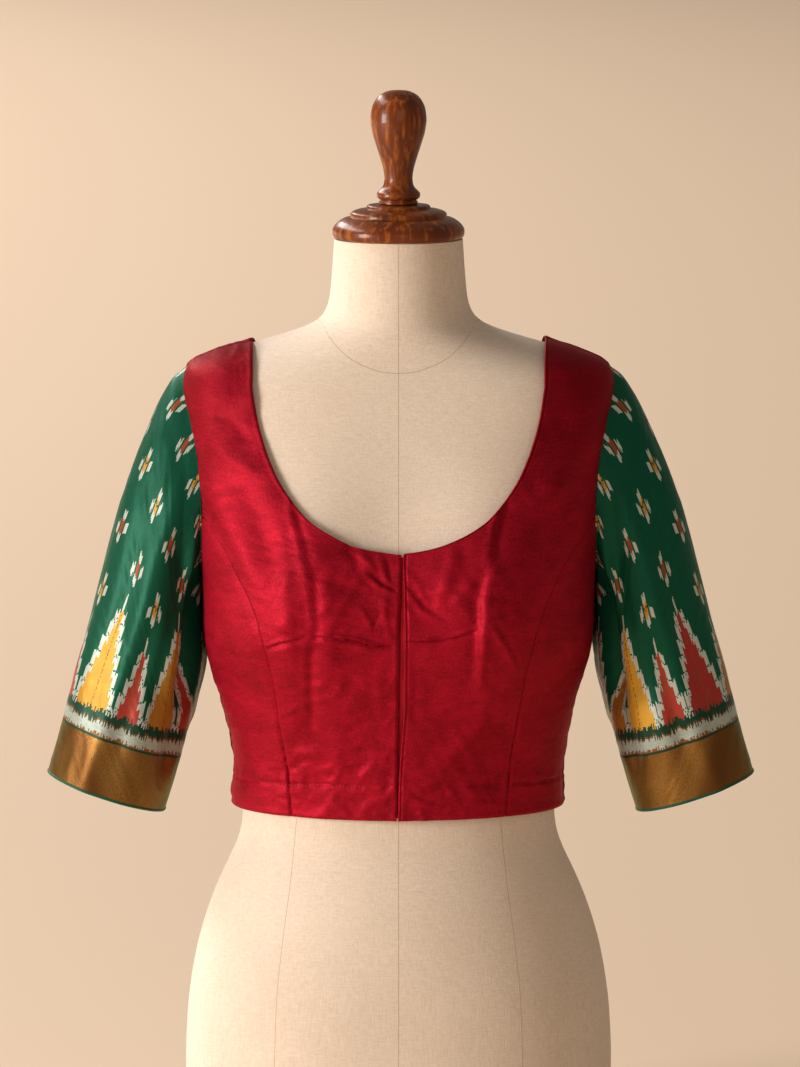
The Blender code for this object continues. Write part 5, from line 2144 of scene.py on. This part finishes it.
    def _outside(self) -> tuple[Array, Array]:
        """The outer face on the side of +X.

        Returns:
            Its rings from the armhole to the cuff, with their folds and without.
        """
        shares = np.linspace(0, 1, self.rings) ** 1.15
        angles = np.linspace(0, 2 * math.pi, self.steps, endpoint=False) + math.pi
        outer_x, outer_z = self._line(self.outer_line, shares)
        under_x, under_z = self._line(self.underarm_line, shares)
        rows = np.array(self.depths, float)
        half_depth = through(rows[:, 0], rows[:, 1] * MM, shares)
        upward = np.cos(angles)[None, :]
        forward = np.sin(angles)[None, :]
        x = (outer_x + under_x)[:, None] / 2 + (outer_x - under_x)[:, None] / 2 * upward
        x = x + self.hang * smooth_step(shares / 0.4)[:, None]
        z = (outer_z + under_z)[:, None] / 2 + (outer_z - under_z)[:, None] / 2 * upward
        y = self.middle - half_depth[:, None] * forward
        points = joined(x, y + 0 * x, z)
        turn, height = self.cut.armhole(np.mod(angles, 2 * math.pi))
        seam = self.cut.shape.cloth(turn, height, WALL / 2) + np.array([self.seam_step, 0, 0])
        fading = 1 - smooth_step(shares / 0.32)
        points = points + (seam - points[0])[None] * fading[:, None, None]
        plain = points
        rise = self._rise(angles[None, :], shares[:, None])
        points = points + self._normals(points) * rise[..., None]
        least = self._body_reach(points[..., 1], points[..., 2]) + self.body_gap
        beyond = (points[..., 0] - least) / self.softness
        pushed = least + self.softness * np.logaddexp(0, beyond)
        near = smooth_step((560 * MM - points[..., 2]) / (40 * MM))
        near[0] = 0
        points[..., 0] += (pushed - points[..., 0]) * near
        return points, plain

    def _body_reach(self, depth: Array, height: Array) -> Array:
        """How far the bodice reaches to the side.

        Args:
            depth: Distances behind the centre plane.
            height: Heights above the floor.

        Returns:
            The distances from the centre.
        """
        shape = self.cut.shape
        depths = np.linspace(-80 * MM, 85 * MM, 56)
        levels = np.linspace(shape.hem_height, 630 * MM, 72)
        depth_grid, level_grid = np.meshgrid(depths, levels)
        turn = shape.depth_turn(depth_grid, level_grid)
        reach = shape.cloth(turn, level_grid, WALL)[..., 0]
        column = np.clip((depth - depths[0]) / (depths[1] - depths[0]), 0, len(depths) - 1.001)
        row = np.clip((height - levels[0]) / (levels[1] - levels[0]), 0, len(levels) - 1.001)
        left = column.astype(int)
        low = row.astype(int)
        right_share = column - left
        high_share = row - low
        below = reach[low, left] * (1 - right_share) + reach[low, left + 1] * right_share
        above = reach[low + 1, left] * (1 - right_share) + reach[low + 1, left + 1] * right_share
        return below * (1 - high_share) + above * high_share

    def _cloth_places(self, outside: Array, plain: Array) -> Array:
        """The cloth's own coordinates.

        Args:
            outside: The rings of the outer face.
            plain: The same rings without folds.

        Returns:
            Distances round the sleeve from its front and up from the cuff, for each point.
        """
        ring = np.arange(self.steps + 1) % self.steps
        rings = outside[:, ring]
        around = np.linalg.norm(np.diff(rings, axis=1), axis=-1)
        around = (around + np.linalg.norm(np.diff(plain[:, ring], axis=1), axis=-1)) / 2
        around = np.concatenate([np.zeros((self.rings, 1)), np.cumsum(around, axis=1)], axis=1)
        front = round(self.steps * 0.75)
        around = around - around[:, front:front + 1]
        steps = np.linalg.norm(np.diff(plain[:, ring], axis=0), axis=-1)[::-1]
        along = np.concatenate([np.zeros((1, self.steps + 1)), np.cumsum(steps, axis=0)])[::-1]
        return joined(around, along).reshape(-1, 2)

    def _sleeve(self, outer: Array, inner: Array, uv: Array) -> None:
        """Makes the sleeve's mesh, closed along the underarm, and says what it is.

        Args:
            outer: The points of its outer face.
            inner: The points of its inner face.
            uv: The cloth's own coordinates.
        """
        quads = grid_quads(self.rings, self.steps + 1)
        name = f"sleeve_{self.word}_silk"
        count = len(outer)
        columns = self.steps + 1
        faces = quads.tolist() + (quads[:, ::-1] + count).tolist()
        for row in (0, self.rings - 1):
            for step in range(self.steps):
                low = row * columns + step
                faces.append([low, low + 1, count + low + 1, count + low])
        piece = new_mesh(name, np.concatenate([outer, inner]), faces, np.concatenate([uv, uv]))
        shape = bmesh.new()
        shape.from_mesh(piece.data)
        bmesh.ops.remove_doubles(shape, verts=shape.verts, dist=0.01 * MM)
        bmesh.ops.recalc_face_normals(shape, faces=shape.faces)
        shape.to_mesh(piece.data)
        shape.free()
        dress(piece, self.silk, f"sleeve_{self.word}")

    def _pipe(self, outside: Array, normals: Array, flip: Array) -> None:
        """Lays the round piping along the cuff.

        Args:
            outside: The rings of the sleeve's outer face.
            normals: The directions out of it.
            flip: What turns the side of +X into this one.
        """
        downward = outside[-1].mean(axis=0) - outside[-8].mean(axis=0)
        downward /= np.linalg.norm(downward)
        centre = outside[-1] - normals[-1] * WALL / 2 + downward * (self.piping_radius * 0.8)
        corners = np.linspace(0, 2 * math.pi, 14, endpoint=False)
        rings = [
            centre + self.piping_radius * (math.cos(a) * normals[-1] + math.sin(a) * downward)
            for a in corners
        ]
        points = (np.array(rings) * flip).reshape(-1, 3)
        quads = grid_quads(len(corners) + 1, self.steps, closed=True) % (len(corners) * self.steps)
        piece = new_mesh(f"cuff_{self.word}_piping", points, quads)
        dress(piece, self.piping, f"sleeve_{self.word}_piping")
        LOG.info("%s: %d faces", piece.name, len(quads))


def count_triangles() -> int:
    """The triangles of everything in the scene."""
    total = 0
    for item in bpy.data.objects:
        if item.type == "MESH":
            item.data.calc_loop_triangles()
            total += len(item.data.loop_triangles)
    return total


def main() -> None:
    """Builds the finishes, the pieces and the studio, in that order."""
    logging.basicConfig(level=logging.INFO, format="%(name)s: %(message)s")
    satin = Satin().make()
    linen = Linen().make()
    seam = PlainCloth("form_seam", (0.62, 0.49, 0.35), 0.9).make()
    thread = PlainCloth("red_thread", (0.34, 0.006, 0.02), 0.5).make()
    shade = PlainCloth("placket_red", (0.62, 0.010, 0.030), 0.5, 0.0).make()
    piping = PlainCloth("green_piping", (0.010, 0.105, 0.058), 0.45).make()
    yellow, ochre_yellow, ochre = (0.66, 0.34, 0.03), (0.48, 0.22, 0.025), (0.42, 0.17, 0.03)
    red, crimson = (0.46, 0.05, 0.035), (0.40, 0.03, 0.03)
    big, small = partial(Spires, 16.0, 6.0, 0.5), partial(Spires, 9.4, 4.0, 0.0)
    # The right sleeve's copy of the silk is darkened throughout by painted shade, because the key
    # light falls on that sleeve.
    silk_right = IkatSilk(
        "green_ikat_right_painted_shade", big(ochre_yellow, yellow), small(red, red), painted_shade_scale=0.74, spire_apart=71.0
    ).make()
    silk_left = IkatSilk("green_ikat_left", big(yellow, crimson), small(red, ochre)).make()
    threads = Threads()
    bodice = Bodice(satin, shade, thread, threads)
    DressForm(linen, seam, threads, bodice.cut.shape.form).make()
    NeckCap(Wood().make()).make()
    bodice.make()
    Sleeve(-1, "right", -2.2 * MM, silk_right, piping, bodice.cut).make()
    Sleeve(1, "left", 1.2 * MM, silk_left, piping, bodice.cut).make()
    Studio().make()
    LOG.info("%d triangles in all", count_triangles())


if __name__ == "__main__":
    main()
